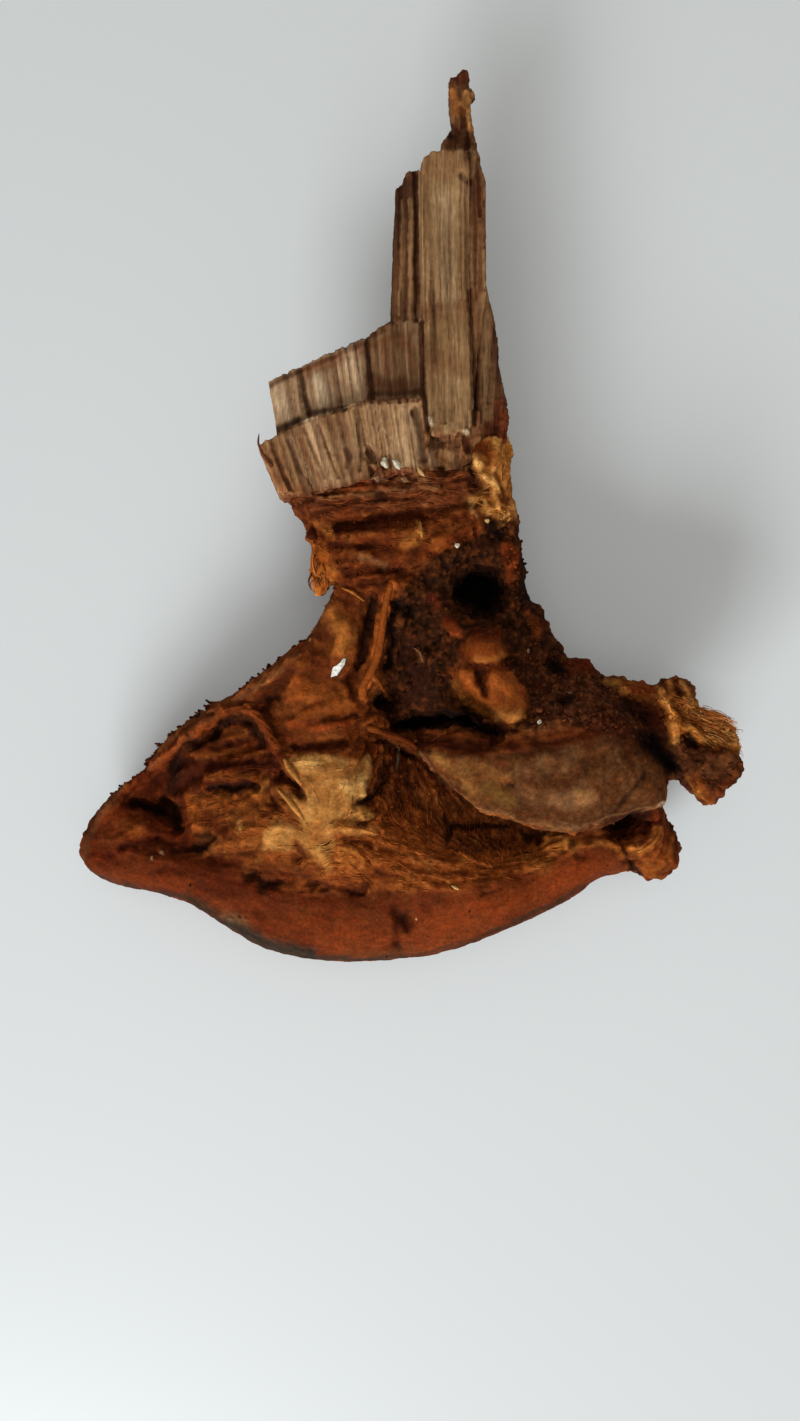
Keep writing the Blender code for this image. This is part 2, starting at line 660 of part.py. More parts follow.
def build():
    for old in list(bpy.data.objects):
        bpy.data.objects.remove(old)
    parts = new_collection("bracket fungus")
    helpers = new_collection("cutters and guides")
    flesh = new_material("fungus flesh", (0.20, 0.075, 0.030), 0.85)
    wood = new_material("weathered wood", (0.33, 0.22, 0.14), 0.80)

    fungus = bracket(parts, helpers, flesh)
    for number, (name, layers) in enumerate(SPLINTERS.items()):
        splinter(name, strip_boxes(layers, SEED + number), parts, helpers, wood)
    cut_sockets(fungus, helpers)
    cut_flat(fungus, helpers)


build()
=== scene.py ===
"""The looks of a dried bracket fungus, torn off its trunk with three splinters of wood, lying torn face up.

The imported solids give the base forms. The flesh and the wood are rebuilt on fine grids, carved, and tinted
feature by feature. Features are placed by where the photograph shows them, in pixels of its 800 x 1421 frame,
and sit on the surface there. Other lengths are in millimetres, and MM turns them into metres.
"""

import math

import bmesh
import bpy
import numpy as np
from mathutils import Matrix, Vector
from mathutils.bvhtree import BVHTree


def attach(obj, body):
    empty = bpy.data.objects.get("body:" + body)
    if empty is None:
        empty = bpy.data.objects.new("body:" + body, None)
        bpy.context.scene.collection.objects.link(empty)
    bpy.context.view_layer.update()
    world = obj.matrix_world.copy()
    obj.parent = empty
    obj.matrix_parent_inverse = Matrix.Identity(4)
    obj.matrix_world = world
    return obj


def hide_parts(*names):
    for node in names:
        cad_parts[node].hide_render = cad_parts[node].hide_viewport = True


MM = 0.001
SEED = 11

# The camera: straight above, so the photograph's up is +Y and its right is +X.
PHOTO_SIZE = (800, 1421)
EYE = (-0.9, -34.2, 224.0)
LENS = 28.0
SENSOR = 36.0

# Millimetres that a pixel covers, for each millimetre of distance.
PIXEL_SLOPE = SENSOR / 2 / LENS / (PHOTO_SIZE[1] / 2)

# How far the flesh's colour swings between reddish and olive, red, green and blue.
HUE_SWING = np.array((0.10, -0.04, -0.12))

# What the studio's cool light is made up for with, red, green and blue.
FLESH_WARMTH = np.array((1.0, 0.86, 0.66))
WOOD_WARMTH = np.array((1.02, 0.91, 0.80))

# Grids that the flesh's forms, the carved flesh, a flap, the lobe, the wood and the spike are built on.
FORM_CELL = 0.6
FLESH_CELL = 0.44
FLAP_CELL = 0.4
LOBE_CELL = 0.5
WOOD_CELL = 0.25
SPIKE_CELL = 0.3

# The share of its triangles that the flesh keeps, and how far down a point looks that may lose some.
FLESH_KEPT = 0.65
THINNED_FROM = -0.15

# The torn face and the cap meet where the upward part of a normal is this, over so much either way.
LEVEL = 0.05
TURN_UP = 0.4
TURN_DOWN = 0.3

# The cap's growth zones and fine rings run round this place at the trunk, and are rusty this far out.
TRUNK = (0.0, 14.0)
ZONE_WIDTH = 7.0
RING_WIDTH = 2.1
RUSTY_FROM = 89.0

# How squarely a surface has to face the camera for its colours not to be guessed, and how far it has to look
# away for no stroke to be drawn on it.
GLANCING = 0.2
UNSEEN = 0.25

# The noise: how many slopes it has, what numbers its cells, what brings it to about -1 to 1, and how much
# fainter each finer layer is.
SLOPES = 4096
CELL_PRIMES = (73856093, 19349663, 83492791)
NOISE_GAIN = 1.6
LAYER_GAIN = 0.55

# Where the colour of each point is kept.
TINT = "Tint"

# Colours in even light, sRGB.
COLOURS = {
    # A near black for the deepest holes, cuts and gaps: painted shade deep in them, partly the flesh's own
    # dark colour.
    "deep shade": (9, 5, 3),
    "char": (30, 15, 8),
    "plum": (52, 24, 14),
    "umber": (58, 22, 8),
    "red brown": (80, 31, 12),
    "rust": (108, 46, 18),
    "bright rust": (134, 62, 27),
    "orange brown": (104, 50, 20),
    "orange": (132, 70, 28),
    "bright orange": (150, 86, 38),
    "amber": (156, 98, 46),
    "ochre": (112, 60, 23),
    "tan": (174, 124, 68),
    "straw": (190, 150, 94),
    "hide": (90, 54, 30),
    "pale hide": (124, 88, 60),
    "olive hide": (108, 80, 38),
    "golden hide": (132, 88, 44),
    "crust": (94, 60, 40),
    "ash": (84, 76, 66),
    "slate": (44, 40, 36),
    "bark": (48, 35, 25),
    "cream": (196, 184, 160),
    "chalk": (228, 226, 218),
    "wood": (140, 112, 80),
    "pale wood": (172, 150, 122),
    "brown wood": (96, 60, 36),
    "dark wood": (52, 30, 18),
}

# Where fibres part, a surface shows three colours: in its dips, on its flanks and on its ridges.
# Where the relief picks them, darker dips and lighter ridges are painted shade and painted light.
MIXES = {
    "margin": ((70, 30, 12), (96, 43, 19), (122, 60, 28)),
    "red flesh": ((50, 16, 6), (82, 32, 11), (112, 52, 20)),
    "trough": ((40, 14, 5), (68, 26, 9), (106, 52, 20)),
    "slope": ((65, 27, 9), (97, 48, 20), (125, 69, 29)),
    "ochre": ((70, 34, 12), (103, 54, 21), (137, 83, 39)),
    "core": ((124, 77, 36), (152, 104, 55), (180, 137, 83)),
    "wavy": ((80, 38, 14), (124, 64, 25), (164, 102, 52)),
    "gap": ((34, 15, 6), (94, 45, 20), (162, 92, 44)),
    "foot": ((54, 23, 10), (112, 56, 24), (178, 104, 50)),
    "under": ((54, 24, 11), (110, 57, 26), (160, 98, 50)),
    "dark": ((14, 6, 3), (44, 21, 9), (96, 52, 23)),
    "mottled": ((28, 12, 7), (67, 33, 18), (114, 72, 48)),
    "lump": ((92, 42, 15), (134, 68, 27), (160, 94, 44)),
    "upper lump": ((68, 28, 10), (108, 51, 18), (140, 78, 33)),
    "flap": ((98, 46, 16), (148, 80, 32), (184, 120, 58)),
    "neck": ((46, 15, 4), (86, 38, 14), (128, 72, 32)),
    "band": ((50, 21, 9), (86, 42, 19), (124, 76, 48)),
    "amber": ((108, 56, 20), (150, 98, 46), (198, 154, 102)),
    "chunk": ((30, 13, 7), (62, 30, 16), (102, 60, 33)),
    "gold": ((78, 38, 13), (120, 68, 27), (164, 108, 52)),
    "lobe": ((45, 22, 10), (79, 46, 24), (112, 77, 49)),
    "crust": ((58, 37, 24), (90, 58, 38), (118, 88, 66)),
    "wood": ((94, 68, 43), (137, 109, 76), (165, 139, 105)),
    "pale wood": ((112, 84, 60), (164, 137, 108), (198, 178, 154)),
    "warm wood": ((84, 50, 28), (138, 104, 72), (180, 150, 116)),
    "stained wood": ((90, 62, 40), (131, 100, 69), (154, 122, 88)),
    "brown wood": ((50, 27, 15), (99, 66, 42), (136, 103, 72)),
    "umber wood": ((37, 19, 10), (71, 44, 28), (108, 77, 51)),
    "spike wood": ((48, 27, 14), (96, 63, 40), (142, 106, 72)),
    "torn wood": ((80, 50, 30), (134, 92, 60), (166, 128, 88)),
    "dark wood": ((62, 40, 26), (110, 82, 57), (142, 114, 88)),
    "red wood": ((48, 21, 10), (88, 41, 20), (124, 68, 38)),
}


# ---------------------------------------------------------------- measuring

def smooth_step(t):
    """0 below 0, 1 above 1, and an S between them."""
    t = np.clip(t, 0.0, 1.0)
    return t * t * (3.0 - 2.0 * t)


def quarter_round(t):
    """The height of a quarter circle: 0 at t = 0, 1 from t = 1 on."""
    t = np.clip(t, 0.0, 1.0)
    return np.sqrt(1.0 - (1.0 - t) ** 2)


def looks_up(normals):
    """1 for points of the torn face, 0 for points of the cap."""
    return smooth_step((normals[:, 2] - LEVEL) / TURN_UP)


def looks_down(normals):
    """1 for points of the cap, 0 for points of the torn face."""
    return smooth_step((LEVEL - normals[:, 2]) / TURN_DOWN)


def faces_camera(points, normals):
    """How squarely each point faces the camera, from 1 down to -1 for one that looks away."""
    sight = EYE - points
    return (normals * sight).sum(1) / np.linalg.norm(sight, axis=1)


def distance_to_path(points, path):
    """The distance from each point of a plane to a line through the path's points."""
    nearest = np.full(len(points), np.inf)
    for start, end in zip(path[:-1], path[1:]):
        start, end = np.array(start, float), np.array(end, float)
        along = end - start
        share = np.clip((points - start) @ along / (along @ along), 0.0, 1.0)
        foot = start + share[:, None] * along
        nearest = np.minimum(nearest, np.linalg.norm(points - foot, axis=1))
    return nearest


def depth_inside(points, outline):
    """The distance from each point of a plane to the outline, below 0 outside it."""
    inside = np.zeros(len(points), bool)
    x, y = points[:, 0], points[:, 1]
    ring = list(outline) + [outline[0]]
    for (x0, y0), (x1, y1) in zip(ring[:-1], ring[1:]):
        if y0 != y1:
            crosses = (y0 > y) != (y1 > y)
            inside ^= crosses & (x < x0 + (y - y0) / (y1 - y0) * (x1 - x0))
    return np.where(inside, 1.0, -1.0) * distance_to_path(points, ring)


def along_line(line, share):
    """The point of a plane this far along a line, by length."""
    line = np.array(line, float)
    steps = np.linalg.norm(np.diff(line, axis=0), axis=1)
    reached = np.concatenate(([0.0], np.cumsum(steps))) / steps.sum()
    return np.array([np.interp(share, reached, line[:, axis]) for axis in (0, 1)])


def flattened(points):
    return points * (1.0, 1.0, 0.0)


def noise(points, size, seed=0):
    """Smooth noise, about -1 to 1, whose lumps are of this size. One size, or one for each axis."""
    scaled = points / np.array(size, float)
    table = np.random.default_rng(SEED * 1000 + seed).normal(size=(SLOPES, 3))
    table /= np.linalg.norm(table, axis=1)[:, None]
    corner = np.floor(scaled).astype(np.int64)
    share = scaled - corner
    ease = share ** 3 * (share * (share * 6.0 - 15.0) + 10.0)
    total = np.zeros(len(points))
    for offset in np.ndindex(2, 2, 2):
        numbers = (corner + offset) * CELL_PRIMES
        slope = table[(numbers[:, 0] ^ numbers[:, 1] ^ numbers[:, 2]) % SLOPES]
        weight = np.prod(np.where(offset, ease, 1.0 - ease), axis=1)
        total += weight * ((share - offset) * slope).sum(1)
    return total * NOISE_GAIN


def layered_noise(points, size, layers, seed=0):
    """Noise with finer and fainter noise on top."""
    total = np.zeros(len(points))
    size = np.array(size, float)
    for layer in range(layers):
        total += noise(points, size / 2 ** layer, seed + layer) * LAYER_GAIN ** layer
    return total


def combed_noise(points, direction, width, length, seed=0):
    """Noise drawn out along each point's direction into streaks of this width and length, spread about 1."""
    step_length = 0.7 * width
    bends = [noise(points, 4.0 * width, seed + axis) for axis in (7, 8, 9)]
    bent = points + step_length * np.column_stack(bends)
    total = np.zeros(len(points))
    for step in np.linspace(-0.5, 0.5, math.ceil(length / width / 0.7)):
        total += noise(bent + direction * (step * length), width, seed)
    return total / total.std()


def straight_grain(places, width, length, seed):
    """Noise in straight streaks of this width and length, spread about 1."""
    streaks = noise(places, (width, length, width), seed)
    return streaks / streaks.std()


def seen_at(points):
    """Where the photograph shows each point: pixels to the right and down."""
    scale = (EYE[2] - points[:, 2]) * PIXEL_SLOPE
    right = PHOTO_SIZE[0] / 2 + (points[:, 0] - EYE[0]) / scale
    down = PHOTO_SIZE[1] / 2 - (points[:, 1] - EYE[1]) / scale
    return np.column_stack((right, down))


def at_pixel(pixel, height):
    """The point of this height that the photograph shows at a pixel."""
    scale = (EYE[2] - height) * PIXEL_SLOPE
    x = EYE[0] + (pixel[0] - PHOTO_SIZE[0] / 2) * scale
    y = EYE[1] - (pixel[1] - PHOTO_SIZE[1] / 2) * scale
    return np.array((x, y, height))


def plan_of(pixels, height):
    """The outline in millimetres, seen from above, of an outline in pixels that lies at this height."""
    return [tuple(at_pixel(pixel, height)[:2]) for pixel in pixels]


def linear(colour):
    """A named colour, or an sRGB colour of 0 to 255, as linear light."""
    value = np.array(COLOURS[colour] if isinstance(colour, str) else colour, float) / 255.0
    return np.where(value <= 0.04045, value / 12.92, ((value + 0.055) / 1.055) ** 2.4)


# ---------------------------------------------------------------- meshes

def new_object(name, data, material=None):
    """An object of this mesh, curve, light or camera, linked to the scene."""
    made = bpy.data.objects.new(name, data)
    bpy.context.scene.collection.objects.link(made)
    if material is not None:
        data.materials.clear()
        data.materials.append(material)
    return made


def mesh_from(plan, name):
    """A mesh of what a bmesh holds. The bmesh is freed."""
    mesh = bpy.data.meshes.new(name)
    plan.to_mesh(mesh)
    plan.free()
    return mesh


def evaluated_mesh(obj):
    """The object's mesh with its modifiers applied. The object is removed."""
    bpy.context.view_layer.update()
    graph = bpy.context.evaluated_depsgraph_get()
    mesh = bpy.data.meshes.new_from_object(obj.evaluated_get(graph))
    mesh.transform(obj.matrix_world)
    bpy.data.objects.remove(obj)
    return mesh


def rows_of(items, field, width, kind):
    """One field of all of a mesh's items, a row for each."""
    flat = np.empty(len(items) * width, kind)
    items.foreach_get(field, flat)
    return flat.reshape(-1, width)


def mesh_points(mesh):
    """The mesh's points in millimetres."""
    return rows_of(mesh.vertices, "co", 3, np.float32).astype(float) / MM


def mesh_normals(mesh):
    return rows_of(mesh.vertices, "normal", 3, np.float32).astype(float)


def mesh_edges(mesh):
    return rows_of(mesh.edges, "vertices", 2, np.int32)


def set_mesh_points(mesh, points):
    mesh.vertices.foreach_set("co", (points * MM).astype(np.float32).ravel())
    mesh.update()


def set_tint(mesh, colours):
    """Stores a linear colour for each point, which the materials read."""
    tint = mesh.color_attributes.new(name=TINT, type="FLOAT_COLOR", domain="POINT")
    rows = np.column_stack((np.clip(colours, 0.0, 1.0), np.ones(len(colours))))
    tint.data.foreach_set("color", rows.astype(np.float32).ravel())


def spread_out(values, edges, rounds):
    """The values, each averaged with its neighbours' a number of times."""
    count = np.bincount(edges.ravel(), minlength=len(values)).astype(float)
    columns = values.reshape(len(values), -1)
    for _ in range(rounds):
        total = np.empty_like(columns)
        for column in range(columns.shape[1]):
            from_first = np.bincount(edges[:, 1], columns[edges[:, 0], column], len(values))
            from_second = np.bincount(edges[:, 0], columns[edges[:, 1], column], len(values))
            total[:, column] = from_first + from_second
        columns = 0.5 * columns + 0.5 * total / np.maximum(count, 1.0)[:, None]
    return columns.reshape(values.shape)


def voxel_remeshed(obj, cell):
    """The object's mesh rebuilt on a grid of this cell, so that shapes that overlap become one skin."""
    remesh = obj.modifiers.new("even grid", "REMESH")
    remesh.mode = "VOXEL"
    remesh.voxel_size = cell * MM
    remesh.use_smooth_shade = True
    return evaluated_mesh(obj)


def flat_outline(name, outline, thickness):
    """A plate with this outline, its middle at z = 0, as a mesh object."""
    curve = bpy.data.curves.new(name, "CURVE")
    curve.dimensions = "2D"
    curve.fill_mode = "BOTH"
    curve.extrude = thickness / 2 * MM
    spline = curve.splines.new("POLY")
    spline.points.add(len(outline) - 1)
    for point, (x, y) in zip(spline.points, outline):
        point.co = (x * MM, y * MM, 0.0, 1.0)
    spline.use_cyclic_u = True
    plate = bmesh.new()
    plate.from_mesh(evaluated_mesh(new_object(name, curve)))
    bmesh.ops.remove_doubles(plate, verts=plate.verts, dist=0.01 * MM)
    return new_object(name, mesh_from(plate, name))


def blanket_form(name, outline, over, under, cell):
    """A closed form with this outline, between the heights that over() and under() give at each point."""
    thickness = 3.0 * cell
    mesh = voxel_remeshed(flat_outline(name, outline, thickness), cell)
    points = mesh_points(mesh)
    upper_share = smooth_step(points[:, 2] / (thickness - cell) + 0.5)
    depth = np.maximum(depth_inside(points[:, :2], outline), 0.0)
    low, high = under(points, depth), over(points, depth)
    points[:, 2] = low + (high - low) * upper_share
    set_mesh_points(mesh, points)
    return new_object(name, mesh)


def joined(objects, name):
    """One object that holds the meshes of all of these, which are removed."""
    both = bmesh.new()
    for obj in objects:
        both.from_mesh(obj.data)
        bpy.data.objects.remove(obj)
    return new_object(name, mesh_from(both, name))


def copy_of_node(node):
    """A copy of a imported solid, whose points are already in their place."""
    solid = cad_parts[node]
    return new_object(node + " base", solid.data.copy())


# ---------------------------------------------------------------- features of the torn face
#
# The way the fibres run: lines in the photograph's pixels, which the grain nearby follows.

GRAIN = (
    ((285, 506), (380, 497), (475, 488)), ((318, 532), (380, 545), (440, 532)),
    ((335, 562), (380, 560), (430, 553)), ((345, 588), (346, 630), (330, 680), (290, 704), (235, 712)),
    ((372, 600), (368, 650), (362, 700)), ((392, 584), (380, 650), (368, 698)),
    ((365, 706), (320, 722), (280, 730)), ((366, 730), (310, 746), (280, 746)),
    ((300, 660), (230, 705), (170, 750), (104, 812)), ((290, 690), (225, 722), (180, 760), (150, 790)),
    ((190, 756), (240, 755), (285, 750)), ((185, 775), (240, 772), (285, 775)),
    ((190, 800), (235, 800), (275, 792)), ((190, 832), (230, 815), (260, 812)),
    ((205, 850), (240, 840), (262, 836)), ((283, 760), (292, 775), (302, 790)),
    ((281, 792), (295, 811), (314, 834)), ((316, 832), (330, 800), (350, 776), (367, 757)),
    ((344, 822), (350, 800), (362, 780)), ((300, 766), (325, 760), (346, 757)),
    ((262, 838), (286, 830), (312, 840)), ((262, 856), (292, 856)), ((310, 864), (328, 852), (336, 845)),
    ((340, 850), (356, 858), (367, 870)), ((328, 827), (355, 828), (380, 833)),
    ((372, 842), (410, 852), (440, 868), (472, 874)), ((358, 862), (400, 873), (440, 886)),
    ((440, 850), (490, 866), (542, 858)), ((400, 892), (470, 886), (540, 866)), ((455, 822), (457, 850)),
    ((480, 825), (482, 856)), ((505, 828), (508, 857)), ((531, 834), (535, 856)),
    ((110, 862), (180, 874), (240, 905), (300, 925), (380, 932), (450, 920), (520, 895), (592, 868)),
    ((100, 872), (170, 889), (230, 921), (290, 946), (350, 956), (420, 950), (482, 930)),
    ((395, 745), (398, 770), (402, 802)), ((418, 760), (430, 790), (442, 815)),
    ((430, 762), (480, 790), (540, 812), (600, 810), (652, 790)), ((425, 745), (500, 750), (580, 742)),
    ((402, 600), (396, 660), (390, 712)), ((440, 600), (430, 650), (420, 702)),
    ((508, 520), (530, 600), (560, 660), (620, 700), (662, 742)),
    ((614, 690), (650, 698), (692, 720), (740, 738)), ((640, 712), (668, 738), (692, 756)),
    ((655, 810), (662, 838), (642, 856)), ((560, 868), (600, 856), (640, 862)),
    ((500, 405), (495, 460), (500, 512)), ((322, 540), (318, 596)),
)

# Areas of the flesh: an outline in pixels, the width of its soft edge, its mix of colours, and how far its
# folds, its fibres and its crumbs stand out, in millimetres.
FLESH_AREAS = {
    "growing margin": (
        ((70, 850), (110, 848), (150, 858), (190, 853), (215, 865), (245, 882), (280, 890), (330, 897),
         (370, 898), (420, 892), (460, 886), (500, 880), (540, 868), (575, 855), (610, 838), (630, 860),
         (690, 900), (560, 940), (430, 990), (250, 990), (60, 900)), 10, "margin", (0, 0.04, 0.12)),
    "west tip": (
        ((60, 860), (90, 812), (118, 785), (150, 755), (182, 735), (180, 790), (200, 850), (150, 856),
         (96, 872)), 8, "red flesh", (0.15, 0.06, 0.2)),
    "trough": (
        ((165, 770), (190, 740), (215, 712), (262, 716), (282, 745), (285, 790), (200, 798), (184, 812),
         (170, 800)), 8, "trough", (0.3, 0.04, 0.16)),
    "slope": (
        ((225, 712), (290, 660), (320, 600), (372, 600), (368, 690), (374, 715), (352, 742), (282, 748)),
        8, "slope", (0.24, 0, 0.15)),
    "ochre flesh": (
        ((186, 795), (285, 786), (300, 872), (245, 866), (200, 850)), 8, "ochre", (0.24, 0.08, 0.26)),
    "wavy fibres": (
        ((330, 820), (362, 815), (440, 830), (560, 846), (545, 868), (460, 888), (380, 892), (330, 884),
         (300, 870)), 8, "wavy", (0.1, 0.12, 0.3)),
    "pale core": (
        ((285, 760), (300, 756), (330, 755), (355, 763), (367, 757), (371, 770), (362, 785), (360, 800),
         (370, 815), (360, 823), (345, 821), (334, 820), (334, 832), (336, 846), (325, 868), (312, 862),
         (300, 846), (288, 855), (265, 850), (262, 830), (280, 824), (302, 822), (290, 806), (277, 789),
         (300, 798), (306, 785), (288, 772)), 7, "core", (0.14, 0.04, 0.06)),
    "gap": (
        ((378, 738), (412, 748), (424, 790), (400, 812), (372, 812), (366, 800), (374, 770)),
        6, "gap", (0.3, 0.1, 0.4)),
    "foot of the gap": (
        ((385, 795), (420, 790), (448, 810), (440, 842), (400, 832), (380, 820)),
        8, "foot", (0.25, 0.1, 0.35)),
    "under the lobe": (
        ((412, 755), (440, 780), (475, 806), (545, 826), (540, 846), (450, 855), (428, 815)),
        6, "under", (0.1, 0.2, 0.1)),
    "dark flesh": (
        ((391, 600), (425, 562), (450, 548), (478, 534), (492, 516), (530, 520), (540, 600), (600, 655),
         (650, 690), (650, 740), (560, 722), (500, 735), (395, 728), (374, 706), (385, 640)),
        6, "dark", (0, 0, 0.6)),
    "mottled flesh": (
        ((528, 650), (560, 655), (605, 676), (645, 700), (655, 745), (610, 738), (560, 722), (532, 735),
         (526, 700)), 8, "mottled", (0, 0, 0.6)),
    "neck flesh": (
        ((300, 515), (400, 514), (505, 512), (478, 534), (425, 562), (391, 604), (330, 604), (300, 600)),
        6, "neck", (0.22, 0.02, 0.3)),
    "banded layer": (
        ((270, 500), (300, 490), (375, 474), (430, 466), (475, 468), (482, 505), (440, 513), (340, 512),
         (312, 522)), 5, "band", (0.25, 0.14, 0.14)),
    "amber flesh": (
        ((476, 438), (486, 432), (520, 425), (530, 515), (496, 524), (484, 506), (472, 500), (484, 490),
         (480, 476), (470, 462), (478, 450)), 10, "amber", (0.24, 0.08, 0.3)),
    "chunk": (
        ((606, 680), (640, 660), (770, 660), (770, 810), (690, 810), (660, 770), (640, 735), (625, 700)),
        6, "chunk", (0.1, 0.05, 0.6)),
    "chunk's gold": (
        ((655, 690), (672, 694), (690, 700), (712, 712), (745, 715), (745, 758), (722, 750), (700, 744),
         (688, 742), (672, 745), (662, 715)), 6, "gold", (0.2, 0.1, 0.22)),
    "lobe": (
        ((412, 748), (440, 752), (500, 755), (560, 745), (600, 735), (640, 735), (660, 765), (672, 805),
         (640, 812), (590, 832), (540, 830), (478, 808), (440, 780), (418, 756)), 6, "lobe", (0, 0, 0.5)),
    "chunk's root": (
        ((609, 680), (630, 679), (650, 684), (666, 693), (672, 706), (664, 716), (648, 704), (628, 698)),
        6, "gold", (0.1, 0.1, 0.35)),
    "knob": (
        ((600, 838), (625, 845), (655, 812), (690, 812), (690, 890), (640, 890), (628, 868)),
        6, "slope", (0.3, 0.08, 0.25)),
    "small lump": (
        ((441, 620), (448, 615), (456, 621), (463, 631), (458, 637), (449, 632)),
        8, "red flesh", (0, 0, 0.05)),
    "upper lump": (
        ((462, 650), (466, 639), (480, 633), (497, 635), (507, 645), (508, 655), (499, 662), (482, 665),
         (468, 661)), 11, "upper lump", (0, 0, 0.05)),
    "lower lump": (
        ((452, 672), (462, 667), (474, 669), (478, 684), (484, 694), (486, 684), (486, 670), (496, 661),
         (510, 671), (523, 688), (528, 705), (522, 719), (508, 723), (491, 714), (475, 705), (461, 690)),
        12, "lump", (0, 0, 0.05)),
    "west tuft": (
        ((304, 543), (320, 543), (332, 556), (336, 572), (334, 584), (320, 604), (306, 596)),
        9, "flap", (0.1, 0.05, 0.1)),
}

# Smooth lumps of the torn face: the area, how far it stands out in millimetres, and its rounding in pixels.
LUMPS = {"small lump": (0.8, 5.0), "upper lump": (1.5, 9.0), "lower lump": (1.7, 9.0)}
